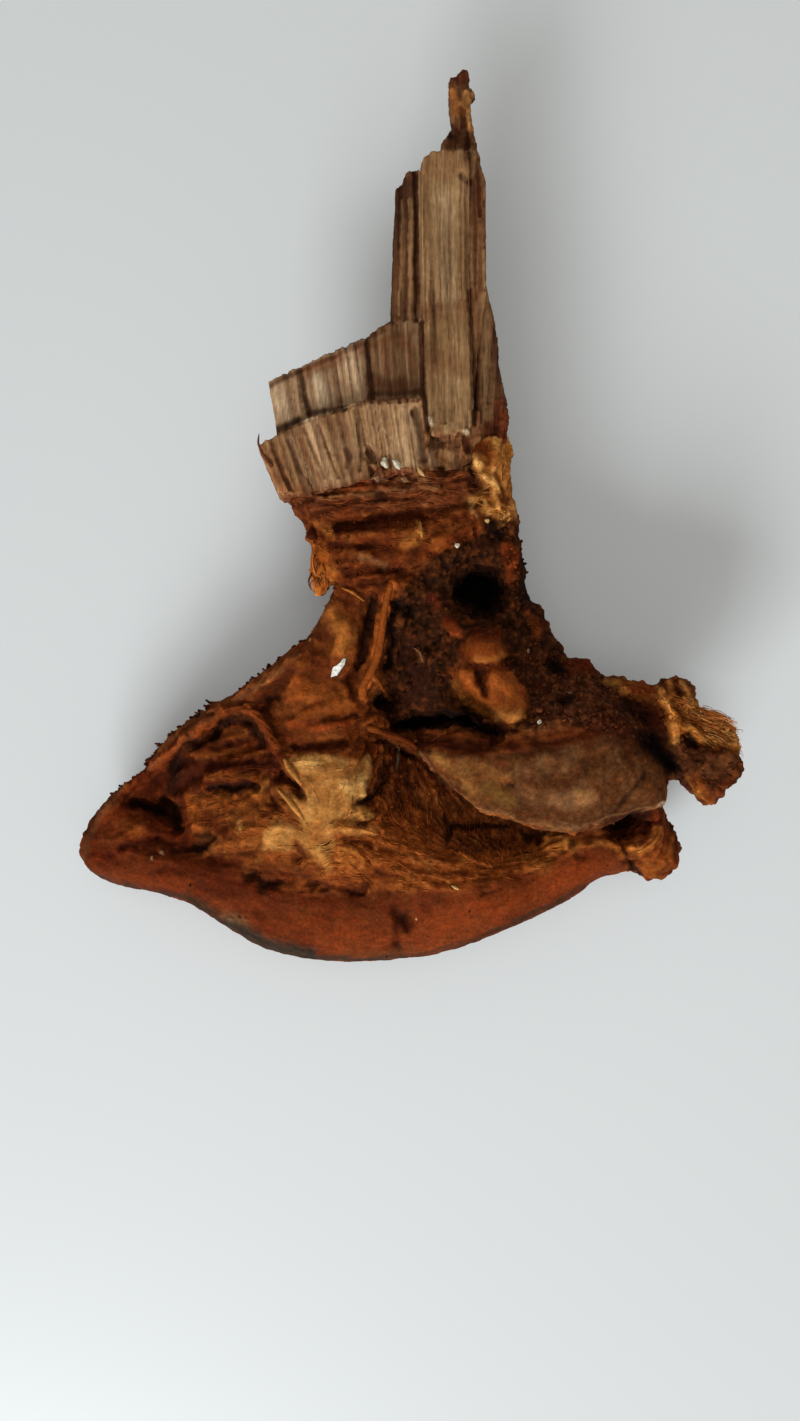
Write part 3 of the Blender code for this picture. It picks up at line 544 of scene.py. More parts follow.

# Strokes: a line in pixels, its half width in pixels, its colour, how strongly that covers, and how far the
# surface rises there in millimetres.
# Dark strokes that cut the surface down are partly the flesh's own colour and partly painted shade in their
# hollows.
FLESH_STROKES = (
    # west tip
    (((84, 858), (88, 838), (100, 815), (112, 800)), 4, "hide", 0.7, 0.0),
    (((108, 803), (122, 786), (150, 757), (178, 732), (205, 713), (235, 697), (262, 681), (300, 653)), 3,
     "hide", 0.8, 0.4),
    (((150, 768), (180, 742), (215, 714), (250, 694), (285, 668)), 2, "pale hide", 0.35, 0.3),
    (((100, 845), (118, 838), (125, 828)), 9, "orange brown", 0.5, 0.0),
    # The west hollow: painted shade in the hollow, over darker flesh.
    (((128, 800), (145, 806), (160, 810), (170, 818)), 9, "umber", 0.7, -0.8),
    (((134, 803), (148, 808), (160, 811)), 5, "deep shade", 0.95, -1.8),
    (((166, 802), (174, 808), (177, 818), (180, 829)), 5, "deep shade", 0.9, -1.8),
    (((158, 811), (168, 814), (176, 818)), 5, "char", 0.9, -1.2),
    (((134, 829), (145, 827)), 8, "ochre", 0.9, 0.8),
    (((152, 828), (166, 832)), 8, "red brown", 0.8, 0.6),
    (((122, 846), (140, 842), (160, 842), (172, 846)), 4, "umber", 0.85, -0.6),
    (((172, 852), (190, 850), (205, 848)), 4, "char", 0.7, -0.6),
    (((120, 872), (150, 876), (185, 884)), 7, "bright rust", 0.4, 0.2),
    (((185, 868), (215, 880), (245, 890)), 10, "red brown", 0.6, 0.0),
    (((88, 873), (110, 884), (140, 891), (178, 896)), 4.5, "slate", 0.85, 0.0),
    # trough
    (((160, 764), (182, 742), (205, 726), (225, 712)), 5, "orange brown", 0.8, 0.9),
    (((182, 753), (195, 752)), 4, "orange", 0.5, 0.3),
    (((172, 790), (174, 775), (180, 755), (192, 742)), 6, "char", 0.75, -0.8),
    (((195, 745), (212, 738)), 6, "plum", 0.7, -0.5),
    (((215, 738), (220, 722), (235, 720), (250, 722)), 5, "char", 0.8, -1.0),
    (((228, 733), (245, 733)), 5, "ochre", 0.5, 0.2),
    (((252, 728), (262, 742)), 4, "char", 0.8, -0.8),
    (((222, 709), (240, 708), (255, 712), (264, 722), (271, 734), (278, 746)), 5, "orange brown", 0.95,
     1.6),
    (((264, 708), (270, 718), (278, 735)), 2.5, "umber", 0.8, -0.5),
    (((200, 756), (230, 752), (262, 752)), 4, "ochre", 0.6, 0.5),
    (((215, 766), (245, 766), (275, 764)), 4, "umber", 0.8, -0.4),
    (((205, 777), (235, 776), (262, 776)), 4, "ochre", 0.7, 0.5),
    (((212, 787), (235, 787), (256, 786)), 4, "char", 0.9, -1.0),
    (((188, 770), (198, 782)), 8, "umber", 0.7, -0.3),
    # ochre flesh
    (((190, 800), (196, 815), (198, 828)), 7, "orange", 0.8, 0.6),
    (((210, 800), (235, 802), (262, 795)), 7, "orange", 0.5, 0.4),
    (((255, 795), (268, 782)), 4, "amber", 0.6, 0.5),
    (((272, 800), (278, 806)), 5, "umber", 0.6, -0.6),
    (((212, 822), (222, 832)), 9, "red brown", 0.7, -0.2),
    (((200, 834), (212, 840)), 6, "char", 0.75, -0.8),
    (((196, 849), (206, 846)), 5, "char", 0.8, -0.8),
    (((215, 860), (235, 865)), 9, "red brown", 0.8, -0.3),
    (((245, 838), (255, 828), (262, 822)), 9, "orange", 0.6, 0.5),
    (((238, 824), (240, 830)), 4, "tan", 0.6, 0.5),
    (((270, 838), (276, 828)), 8, "tan", 0.8, 0.5),
    (((238, 852), (256, 852)), 3, "umber", 0.7, -0.5),
    (((268, 856), (290, 856)), 6, "orange", 0.6, 0.3),
    (((296, 845), (303, 851), (311, 857)), 4, "red brown", 0.75, -0.4),
    # pale core
    (((304, 764), (315, 762)), 7, "straw", 0.6, 0.5),
    (((346, 784), (354, 788), (360, 780)), 8, "straw", 0.75, 0.6),
    (((367, 757), (369, 765), (366, 775), (362, 783), (360, 795)), 3, "straw", 0.7, 0.6),
    (((281, 774), (287, 781), (295, 786), (302, 794)), 4.5, "umber", 0.9, -1.4),
    (((310, 812), (330, 812)), 8, "tan", 0.5, 0.4),
    # Painted shade beside the lower loose fibre.
    (((288, 818), (298, 826)), 3, "orange brown", 0.6, -0.6),
    (((318, 852), (326, 862), (328, 868)), 6, "tan", 0.6, 0.6),
    (((340, 856), (350, 860), (356, 866)), 10, "bright orange", 0.75, 0.9),
    (((340, 850), (358, 852), (366, 862)), 3, "amber", 0.6, 0.5),
    (((330, 828), (352, 828), (374, 831)), 5, "tan", 0.55, 0.6),
    (((356, 823), (368, 821)), 1.8, "umber", 0.9, -0.7),
    (((345, 838), (360, 842), (372, 846)), 4, "umber", 0.6, -0.4),
    (((372, 796), (364, 801), (358, 803)), 4, "deep shade", 0.9, -1.2),
    (((372, 876), (386, 873), (395, 878)), 3, "red brown", 0.6, -0.3),
    # margin
    (((215, 872), (240, 884), (262, 890)), 12, "red brown", 0.7, -0.2),
    (((120, 862), (135, 866)), 8, "orange brown", 0.5, 0.0),
    (((104, 866), (140, 876), (176, 886), (206, 897)), 9, "red brown", 0.5, 0.0),
    (((150, 872), (164, 868), (182, 872)), 3, "plum", 0.5, -0.2),
    (((196, 884), (212, 888), (226, 896)), 3.5, "plum", 0.45, -0.2),
    (((300, 915), (330, 925), (352, 925)), 14, "bright rust", 0.35, 0.1),
    (((270, 905), (300, 900), (330, 905)), 9, "red brown", 0.4, 0.0),
    (((246, 878), (256, 874)), 5, "char", 0.85, -0.9),
    (((262, 886), (276, 882)), 6, "char", 0.85, -0.9),
    (((310, 885), (316, 884)), 4, "umber", 0.85, -0.6),
    (((322, 890), (332, 886)), 3, "umber", 0.85, -0.6),
    (((350, 892), (360, 892), (366, 884)), 5, "umber", 0.8, -0.7),
    (((262, 872), (290, 876)), 8, "red brown", 0.5, -0.3),
    (((256, 912), (262, 920)), 5, "red brown", 0.6, -0.3),
    (((394, 906), (396, 920), (396, 945)), 4, "umber", 0.7, -0.5),
    (((404, 919), (408, 926)), 7, "deep shade", 0.85, -1.0),
    (((424, 905), (430, 912)), 4, "umber", 0.6, -0.3),
    (((396, 945), (398, 950)), 4, "char", 0.7, -0.5),
    (((186, 898), (200, 908), (216, 918), (234, 927)), 7, "bark", 0.9, 0.0),
    (((232, 924), (250, 936), (270, 946), (290, 951), (308, 956)), 9, "slate", 0.95, 0.0),
    (((224, 914), (234, 918), (246, 924)), 4, "pale hide", 0.35, 0.0),
    (((308, 957), (330, 960), (346, 958)), 4, "slate", 0.8, 0.0),
    (((346, 957), (364, 957), (384, 957), (404, 957), (416, 956)), 7, "hide", 0.5, 0.0),
    (((346, 960), (364, 961), (384, 961), (404, 960)), 4, "slate", 0.8, 0.0),
    (((412, 959), (440, 951), (470, 942), (500, 930), (530, 916), (560, 901), (585, 886)), 3, "bark", 0.8,
     0.0),
    (((100, 850), (130, 862), (160, 868)), 9, "red brown", 0.4, 0.0),
    (((170, 872), (200, 880), (230, 890)), 9, "red brown", 0.5, 0.0),
    (((300, 870), (330, 880), (360, 884)), 12, "red brown", 0.35, 0.0),
    (((420, 925), (450, 935), (430, 945)), 14, "bright rust", 0.3, 0.0),
    (((330, 940), (365, 942), (385, 935)), 12, "bright rust", 0.3, 0.0),
    (((270, 925), (300, 932), (330, 928)), 10, "rust", 0.4, 0.0),
    (((440, 920), (480, 910), (530, 890), (590, 866)), 14, "bright rust", 0.5, 0.0),
    (((480, 896), (492, 891), (500, 889)), 1.8, "umber", 0.8, -0.4),
    (((455, 893), (470, 888)), 7, "orange", 0.5, 0.2),
    # slope
    (((330, 612), (345, 632), (340, 650)), 10, "amber", 0.7, 0.8),
    (((296, 690), (322, 696), (345, 700)), 12, "orange", 0.85, 1.0),
    (((300, 712), (330, 712), (350, 706)), 6, "orange", 0.6, 0.5),
    (((354, 714), (340, 720), (325, 722)), 2.2, "umber", 0.9, -0.7),
    (((290, 672), (275, 690), (262, 705)), 8, "umber", 0.7, -0.7),
    (((268, 702), (278, 700)), 6, "char", 0.6, -0.6),
    (((345, 680), (352, 692), (360, 702)), 4, "umber", 0.7, -0.7),
    (((290, 724), (320, 727), (350, 722)), 4, "bright rust", 0.6, 0.4),
    (((296, 748), (320, 747), (345, 744)), 5, "umber", 0.9, -1.2),
    (((285, 738), (300, 742)), 5, "red brown", 0.6, 0.0),
    # west of the neck
    # Painted shade in the gaps on either side of the rope.
    (((372, 600), (366, 630), (362, 655), (360, 668)), 5, "char", 0.9, -1.8),
    (((393, 605), (392, 640), (386, 668)), 4, "deep shade", 0.9, -2.0),
    (((392, 584), (385, 600), (382, 622), (378, 645), (371, 666), (365, 684), (363, 698)), 5, "orange",
     0.9, 1.3),
    (((372, 674), (380, 685), (388, 697)), 3, "orange", 0.8, 0.8),
    (((346, 674), (356, 676)), 4, "umber", 0.7, -0.5),
    (((318, 524), (330, 530)), 5, "amber", 0.5, 0.4),
    (((338, 527), (356, 525), (376, 520), (396, 515), (425, 516)), 5, "umber", 0.85, -1.3),
    (((330, 542), (360, 545), (390, 549)), 3, "umber", 0.7, -0.6),
    (((345, 572), (370, 568), (400, 572)), 4, "umber", 0.6, -0.6),
    (((362, 556), (372, 558), (384, 566)), 4, "pale hide", 0.5, 0.4),
    (((405, 543), (415, 538)), 7, "amber", 0.6, 0.5),
    (((435, 545), (445, 540)), 6, "orange", 0.7, 0.5),
    (((420, 524), (422, 536)), 2, "tan", 0.6, 0.6),
    (((360, 586), (385, 582)), 4, "umber", 0.7, -0.5),
    # banded layer
    (((292, 504), (350, 502), (420, 498)), 2, "umber", 0.7, -0.6),
    (((310, 513), (335, 509), (380, 507)), 2, "umber", 0.7, -0.5),
    (((320, 497), (380, 492), (440, 486)), 2, "pale hide", 0.5, 0.4),
    (((378, 496), (384, 499)), 4, "char", 0.8, -0.6),
    (((345, 486), (368, 484)), 4, "orange", 0.5, 0.3),
    (((372, 477), (382, 479)), 4, "pale wood", 0.6, 0.5),
    (((360, 484), (380, 479), (396, 477), (412, 477)), 5, "rust", 0.6, 0.0),
    (((398, 478), (412, 475), (426, 480)), 6, "pale hide", 0.5, 0.0),
    (((384, 470), (390, 480)), 2.5, "umber", 0.7, -0.4),
    (((440, 470), (446, 472)), 3, "char", 0.8, -0.6),
    (((462, 480), (474, 486)), 4, "umber", 0.6, -0.5),
    # amber flesh beside the wood
    (((468, 440), (478, 446), (487, 454)), 9, "orange brown", 0.95, 0.0),
    (((500, 438), (502, 450), (502, 464)), 5, "tan", 0.75, 0.3),
    (((492, 455), (498, 464)), 4, "amber", 0.5, 0.0),
    (((470, 456), (474, 460)), 3, "straw", 0.5, 0.2),
    (((477, 465), (480, 469)), 2.8, "straw", 0.85, 0.5),
    (((468, 464), (472, 474), (475, 484)), 4, "char", 0.85, -0.8),
    (((484, 476), (490, 482), (500, 489)), 3.2, "straw", 0.6, 0.4),
    (((477, 480), (480, 488), (486, 492)), 4, "plum", 0.75, -0.4),
    (((504, 491), (506, 503)), 4, "red brown", 0.85, -0.4),
    (((486, 508), (500, 509), (514, 511)), 5, "tan", 0.55, 0.5),
    (((482, 500), (485, 502)), 2, "straw", 0.8, 0.3),
    (((472, 499), (473, 508), (476, 516)), 2.5, "straw", 0.45, 0.3),
    (((488, 520), (500, 520)), 4, "char", 0.6, -0.4),
    # dark flesh
    # The burrow: its black is painted shade deep in the hole.
    (((464, 590), (472, 584), (484, 582), (492, 590), (488, 602)), 16, "deep shade", 0.95, 0.0),
    (((466, 592), (474, 588), (486, 592), (484, 602)), 12, "deep shade", 0.95, -0.8),
    (((458, 574), (468, 564), (482, 561), (494, 567)), 3, "plum", 0.7, 0.8),
    # Painted shade along the upper lump's north edge.
    (((472, 636), (484, 634), (496, 636)), 7, "red brown", 0.6, 0.2),
    (((462, 655), (468, 664), (480, 668)), 3, "red brown", 0.6, 0.0),
    (((484, 668), (495, 667), (508, 668)), 4, "red brown", 0.75, -0.7),
    (((451, 634), (460, 636)), 2.5, "bright rust", 0.7, 0.0),
    (((476, 660), (490, 660), (502, 656)), 3, "amber", 0.4, 0.0),
    (((454, 684), (464, 698), (478, 708), (494, 714)), 5, "amber", 0.5, 0.0),
    (((478, 704), (494, 710), (508, 714), (520, 704)), 8, "bright orange", 0.55, 0.0),
    (((478, 668), (481, 680), (484, 692)), 4.5, "umber", 0.9, -1.2),
    (((496, 690), (502, 698)), 5, "orange brown", 0.6, -0.3),
    (((500, 674), (508, 680)), 6, "orange brown", 0.4, 0.0),
    (((456, 674), (464, 690), (474, 702)), 5, "orange brown", 0.4, 0.0),
    (((498, 714), (508, 718), (518, 714)), 6, "tan", 0.45, 0.2),
    (((470, 718), (490, 726), (512, 730)), 5, "umber", 0.6, -0.3),
    (((400, 640), (415, 670), (430, 700)), 14, "plum", 0.5, 0.0),
    (((418, 650), (422, 660)), 2.5, "pale hide", 0.5, 0.4),
    # A deep cut between the dark flesh and the lobe, painted black: painted shade in it.
    (((396, 726), (420, 724), (445, 716), (465, 718), (485, 730), (495, 734)), 7, "deep shade", 1.0, -5.0),
    (((505, 545), (511, 562), (510, 580)), 6, "rust", 0.6, 0.4),
    (((514, 548), (517, 566)), 3, "bright rust", 0.4, 0.2),
    (((528, 612), (534, 622), (536, 634)), 5, "orange brown", 0.6, 0.4),
    (((522, 590), (526, 606)), 5, "char", 0.8, -0.4),
    (((492, 525), (498, 538)), 8, "deep shade", 0.8, -0.8),
    (((430, 598), (436, 604)), 6, "red brown", 0.7, 0.4),
    (((470, 548), (490, 546)), 7, "plum", 0.6, 0.3),
    (((400, 605), (408, 612)), 8, "deep shade", 0.8, -1.2),
    (((378, 700), (384, 702)), 7, "deep shade", 0.95, -2.0),
    (((552, 664), (558, 672)), 7, "deep shade", 0.9, -1.4),
    (((574, 664), (588, 668)), 9, "red brown", 0.85, 0.9),
    (((560, 700), (570, 698)), 6, "deep shade", 0.8, -0.8),
    (((545, 728), (560, 724)), 6, "hide", 0.6, 0.3),
    # gap
    # Painted shadow under the twig and painted shade deep in the gap, over its own dark flesh.
    (((380, 742), (395, 748), (410, 756)), 5, "char", 0.8, -1.2),
    (((386, 765), (382, 780), (376, 795), (368, 800)), 5, "char", 0.8, -1.6),
    (((404, 760), (410, 785), (420, 805)), 5, "char", 0.6, -0.8),
    (((395, 790), (400, 806)), 7, "plum", 0.7, 0.4),
    (((378, 800), (384, 806), (376, 818)), 4, "orange", 0.8, 0.8),
    (((356, 812), (368, 814)), 4, "tan", 0.7, 0.5),
    (((428, 796), (436, 784)), 3, "ochre", 0.6, 0.6),
    (((430, 765), (445, 790)), 8, "red brown", 0.5, 0.0),
    # Painted shadow under the lobe's overhanging edge.
    (((444, 818), (450, 830), (448, 840)), 4, "deep shade", 0.8, -1.0),
    (((452, 826), (480, 826), (505, 826)), 3.5, "deep shade", 0.8, -1.0),
    (((470, 845), (500, 846)), 8, "plum", 0.4, 0.0),
    (((528, 838), (540, 836)), 6, "char", 0.8, -0.8),
    # lobe
    # Painted shade along the lobe's north side.
    (((415, 742), (450, 744), (490, 745)), 9, "umber", 0.85, -0.6),
    (((500, 748), (540, 748), (565, 748)), 8, "umber", 0.6, -0.3),
    (((420, 754), (424, 762), (430, 768)), 5, "umber", 0.5, -0.2),
    (((436, 758), (450, 766), (462, 776), (474, 790)), 9, "golden hide", 0.35, 0.3),
    (((437, 757), (446, 766)), 4, "tan", 0.25, 0.0),
    (((464, 785), (472, 793)), 4, "tan", 0.3, 0.0),
    (((450, 750), (480, 756), (505, 764)), 8, "red brown", 0.35, 0.0),
    (((470, 765), (490, 772), (504, 780)), 8, "golden hide", 0.4, 0.0),
    (((488, 792), (502, 798), (512, 802)), 8, "olive hide", 0.55, 0.2),
    (((556, 800), (570, 802), (588, 796)), 9, "pale hide", 0.85, 0.3),
    (((575, 790), (585, 800)), 4, "straw", 0.2, 0.0),
    (((530, 770), (550, 762), (575, 752)), 10, "pale hide", 0.35, 0.1),
    (((520, 790), (540, 800)), 8, "pale hide", 0.3, 0.0),
    (((590, 760), (610, 775), (615, 790)), 9, "hide", 0.5, -0.2),
    (((600, 745), (615, 752)), 8, "pale hide", 0.3, 0.0),
    (((540, 826), (575, 828)), 4, "pale hide", 0.35, 0.1),
    (((505, 808), (530, 815), (545, 820)), 3, "umber", 0.4, -0.2),
    (((508, 785), (513, 787)), 2.2, "char", 0.9, -0.5),
    (((647, 771), (637, 784), (629, 794), (620, 805), (613, 813)), 2.2, "char", 0.55, -0.5),
    (((658, 774), (654, 786), (642, 800)), 6, "hide", 0.5, 0.3),
    (((600, 725), (625, 738), (640, 752)), 16, "umber", 0.6, 0.0),
    (((560, 738), (590, 740)), 9, "red brown", 0.5, 0.0),
    (((664, 803), (660, 805)), 1.6, "chalk", 0.5, 0.0),
    # The lobe's pale rim: its own paler edge, with a painted highlight along it.
    (((418, 752), (428, 764), (440, 779), (456, 793), (472, 806), (488, 811)), 1.2, "pale hide", 0.7,
     0.0),
    (((488, 811), (500, 814), (512, 820), (525, 825), (545, 827), (562, 828)), 1.1, "pale hide", 0.45,
     0.0),
    (((562, 829), (580, 828), (600, 825)), 0.9, "pale hide", 0.5, 0.0),
    (((600, 820), (612, 816), (630, 811), (650, 808), (664, 804)), 1.2, "pale hide", 0.75, 0.0),
    # knob
    # Painted shade in the knob's hollow.
    (((618, 828), (635, 822), (645, 824)), 12, "umber", 0.9, -2.8),
    (((612, 828), (630, 816), (650, 814)), 4, "char", 0.9, -0.5),
    (((658, 830), (652, 842), (640, 850), (632, 848)), 4, "amber", 0.8, 1.0),
    (((667, 808), (669, 826), (676, 835), (678, 850), (675, 868), (664, 881), (645, 883)), 2.5, "umber",
     0.9, 0.0),
    (((655, 814), (658, 822)), 6, "red brown", 0.7, 0.0),
    (((654, 849), (659, 850)), 2.5, "red brown", 0.8, -0.3),
    (((650, 862), (664, 858)), 12, "orange", 0.6, 0.2),
    (((628, 860), (640, 872)), 4, "char", 0.85, -1.0),
    (((631, 866), (638, 872)), 3.5, "char", 0.85, -0.5),
    (((550, 842), (562, 842)), 9, "amber", 0.9, 0.8),
    (((572, 852), (580, 844), (600, 842), (618, 850)), 3, "amber", 0.5, 0.4),
    (((578, 856), (584, 858)), 5, "umber", 0.5, -0.4),
    (((530, 862), (545, 866)), 9, "amber", 0.5, 0.3),
    # chunk
    (((625, 690), (640, 690), (652, 688)), 7, "rust", 0.7, 0.3),
    (((632, 705), (650, 712), (660, 725)), 9, "umber", 0.85, -0.6),
    # Painted shade between the chunk and the lobe.
    (((650, 745), (662, 758), (676, 768)), 9, "deep shade", 0.85, -1.0),
    (((670, 682), (676, 688), (680, 698)), 4, "umber", 0.7, 0.0),
    (((682, 684), (687, 696), (694, 706)), 4, "tan", 0.45, 0.3),
    (((694, 708), (712, 716), (732, 726), (739, 742)), 7, "tan", 0.75, 0.0),
    (((702, 797), (696, 790), (690, 782)), 4, "amber", 0.5, 0.0),
    (((664, 704), (672, 715), (676, 730)), 5, "amber", 0.7, 0.6),
    (((684, 740), (696, 742)), 5, "char", 0.85, -1.0),
    (((706, 764), (730, 766)), 14, "plum", 0.55, 0.3),
    (((698, 768), (716, 776)), 7, "hide", 0.5, 0.2),
    (((722, 755), (734, 760)), 5, "hide", 0.4, 0.2),
    (((698, 785), (711, 797), (730, 781), (742, 768)), 4, "orange brown", 0.5, 0.0),
    (((657, 686), (664, 698), (669, 710), (673, 724), (677, 742)), 3, "tan", 0.55, 0.6),
    (((606, 679), (618, 684), (626, 692)), 4, "tan", 0.5, 0.3),
    (((632, 688), (642, 690), (650, 696)), 6, "orange brown", 0.5, 0.2),
    (((624, 702), (636, 710), (646, 718)), 7, "char", 0.7, -0.7),
    # Painted shade between the chunk and the lobe, as above.
    (((646, 738), (658, 748), (668, 762)), 10, "deep shade", 0.8, -1.0),
    (((688, 738), (694, 744)), 5, "char", 0.85, -0.7),
    (((685, 724), (700, 733), (712, 741), (734, 745)), 2.5, "tan", 0.55, 0.5),
    (((724, 730), (732, 738)), 8, "straw", 0.45, 0.0),
    (((672, 686), (678, 690), (681, 694)), 5, "umber", 0.7, -0.6),
    (((669, 681), (670, 696)), 2.5, "tan", 0.4, 0.2),
    (((696, 780), (702, 790), (708, 798)), 7, "ochre", 0.6, 0.0),
    (((708, 758), (722, 762), (734, 768)), 8, "hide", 0.45, 0.2),
    (((709, 752), (722, 752)), 3, "umber", 0.6, -0.3),
    (((668, 720), (685, 728), (700, 738)), 3, "amber", 0.7, 0.7),
)

# Areas and strokes of the wood, in the same order.
WOOD_AREAS = {
    "slab": (((418, 140), (480, 150), (474, 430), (424, 440)), 3, "wood", (0, 0.14, 0.06)),
    "slab's top": (
        ((418, 140), (482, 140), (482, 172), (450, 180), (418, 176)), 12, "stained wood", (0, 0.14, 0.1)),
    "first stain": (
        ((422, 304), (470, 300), (472, 322), (424, 320)), 10, "stained wood", (0, 0.14, 0.06)),
    "second stain": (
        ((430, 360), (466, 358), (468, 372), (430, 372)), 12, "stained wood", (0, 0.14, 0.06)),
    "east strip": (
        ((470, 180), (492, 150), (495, 300), (515, 380), (520, 440), (478, 432), (471, 330)),
        3, "brown wood", (0.06, 0.2, 0.1)),
    "west strip": (((385, 185), (418, 165), (419, 320), (385, 330)), 3, "umber wood", (0.06, 0.2, 0.1)),
    "upper tier": (
        ((255, 385), (300, 355), (366, 330), (366, 400), (345, 409), (276, 432)),
        3, "pale wood", (0.05, 0.16, 0.08)),
    # Darker partly as painted shade, for this part lies lower than the rest of the tier.
    "upper tier, east": (
        ((365, 335), (424, 312), (424, 398), (372, 400)), 4, "dark wood", (0.05, 0.16, 0.08)),
    "lower tier": (
        ((250, 442), (276, 432), (345, 408), (424, 396), (430, 480), (290, 515)),
        3, "warm wood", (0.06, 0.2, 0.1)),
    "torn foot": (
        ((424, 433), (429, 424), (434, 436), (440, 428), (446, 439), (453, 429), (459, 438), (464, 431),
         (472, 425), (482, 424), (475, 485), (424, 480)), 4, "torn wood", (0.15, 0.1, 0.4)),
    "red foot": (((486, 398), (515, 398), (515, 445), (484, 440)), 8, "red wood", (0.2, 0.1, 0.4)),
    "spike": (((435, 60), (485, 60), (480, 150), (436, 148)), 4, "spike wood", (0, 0.1, 0.3)),
}
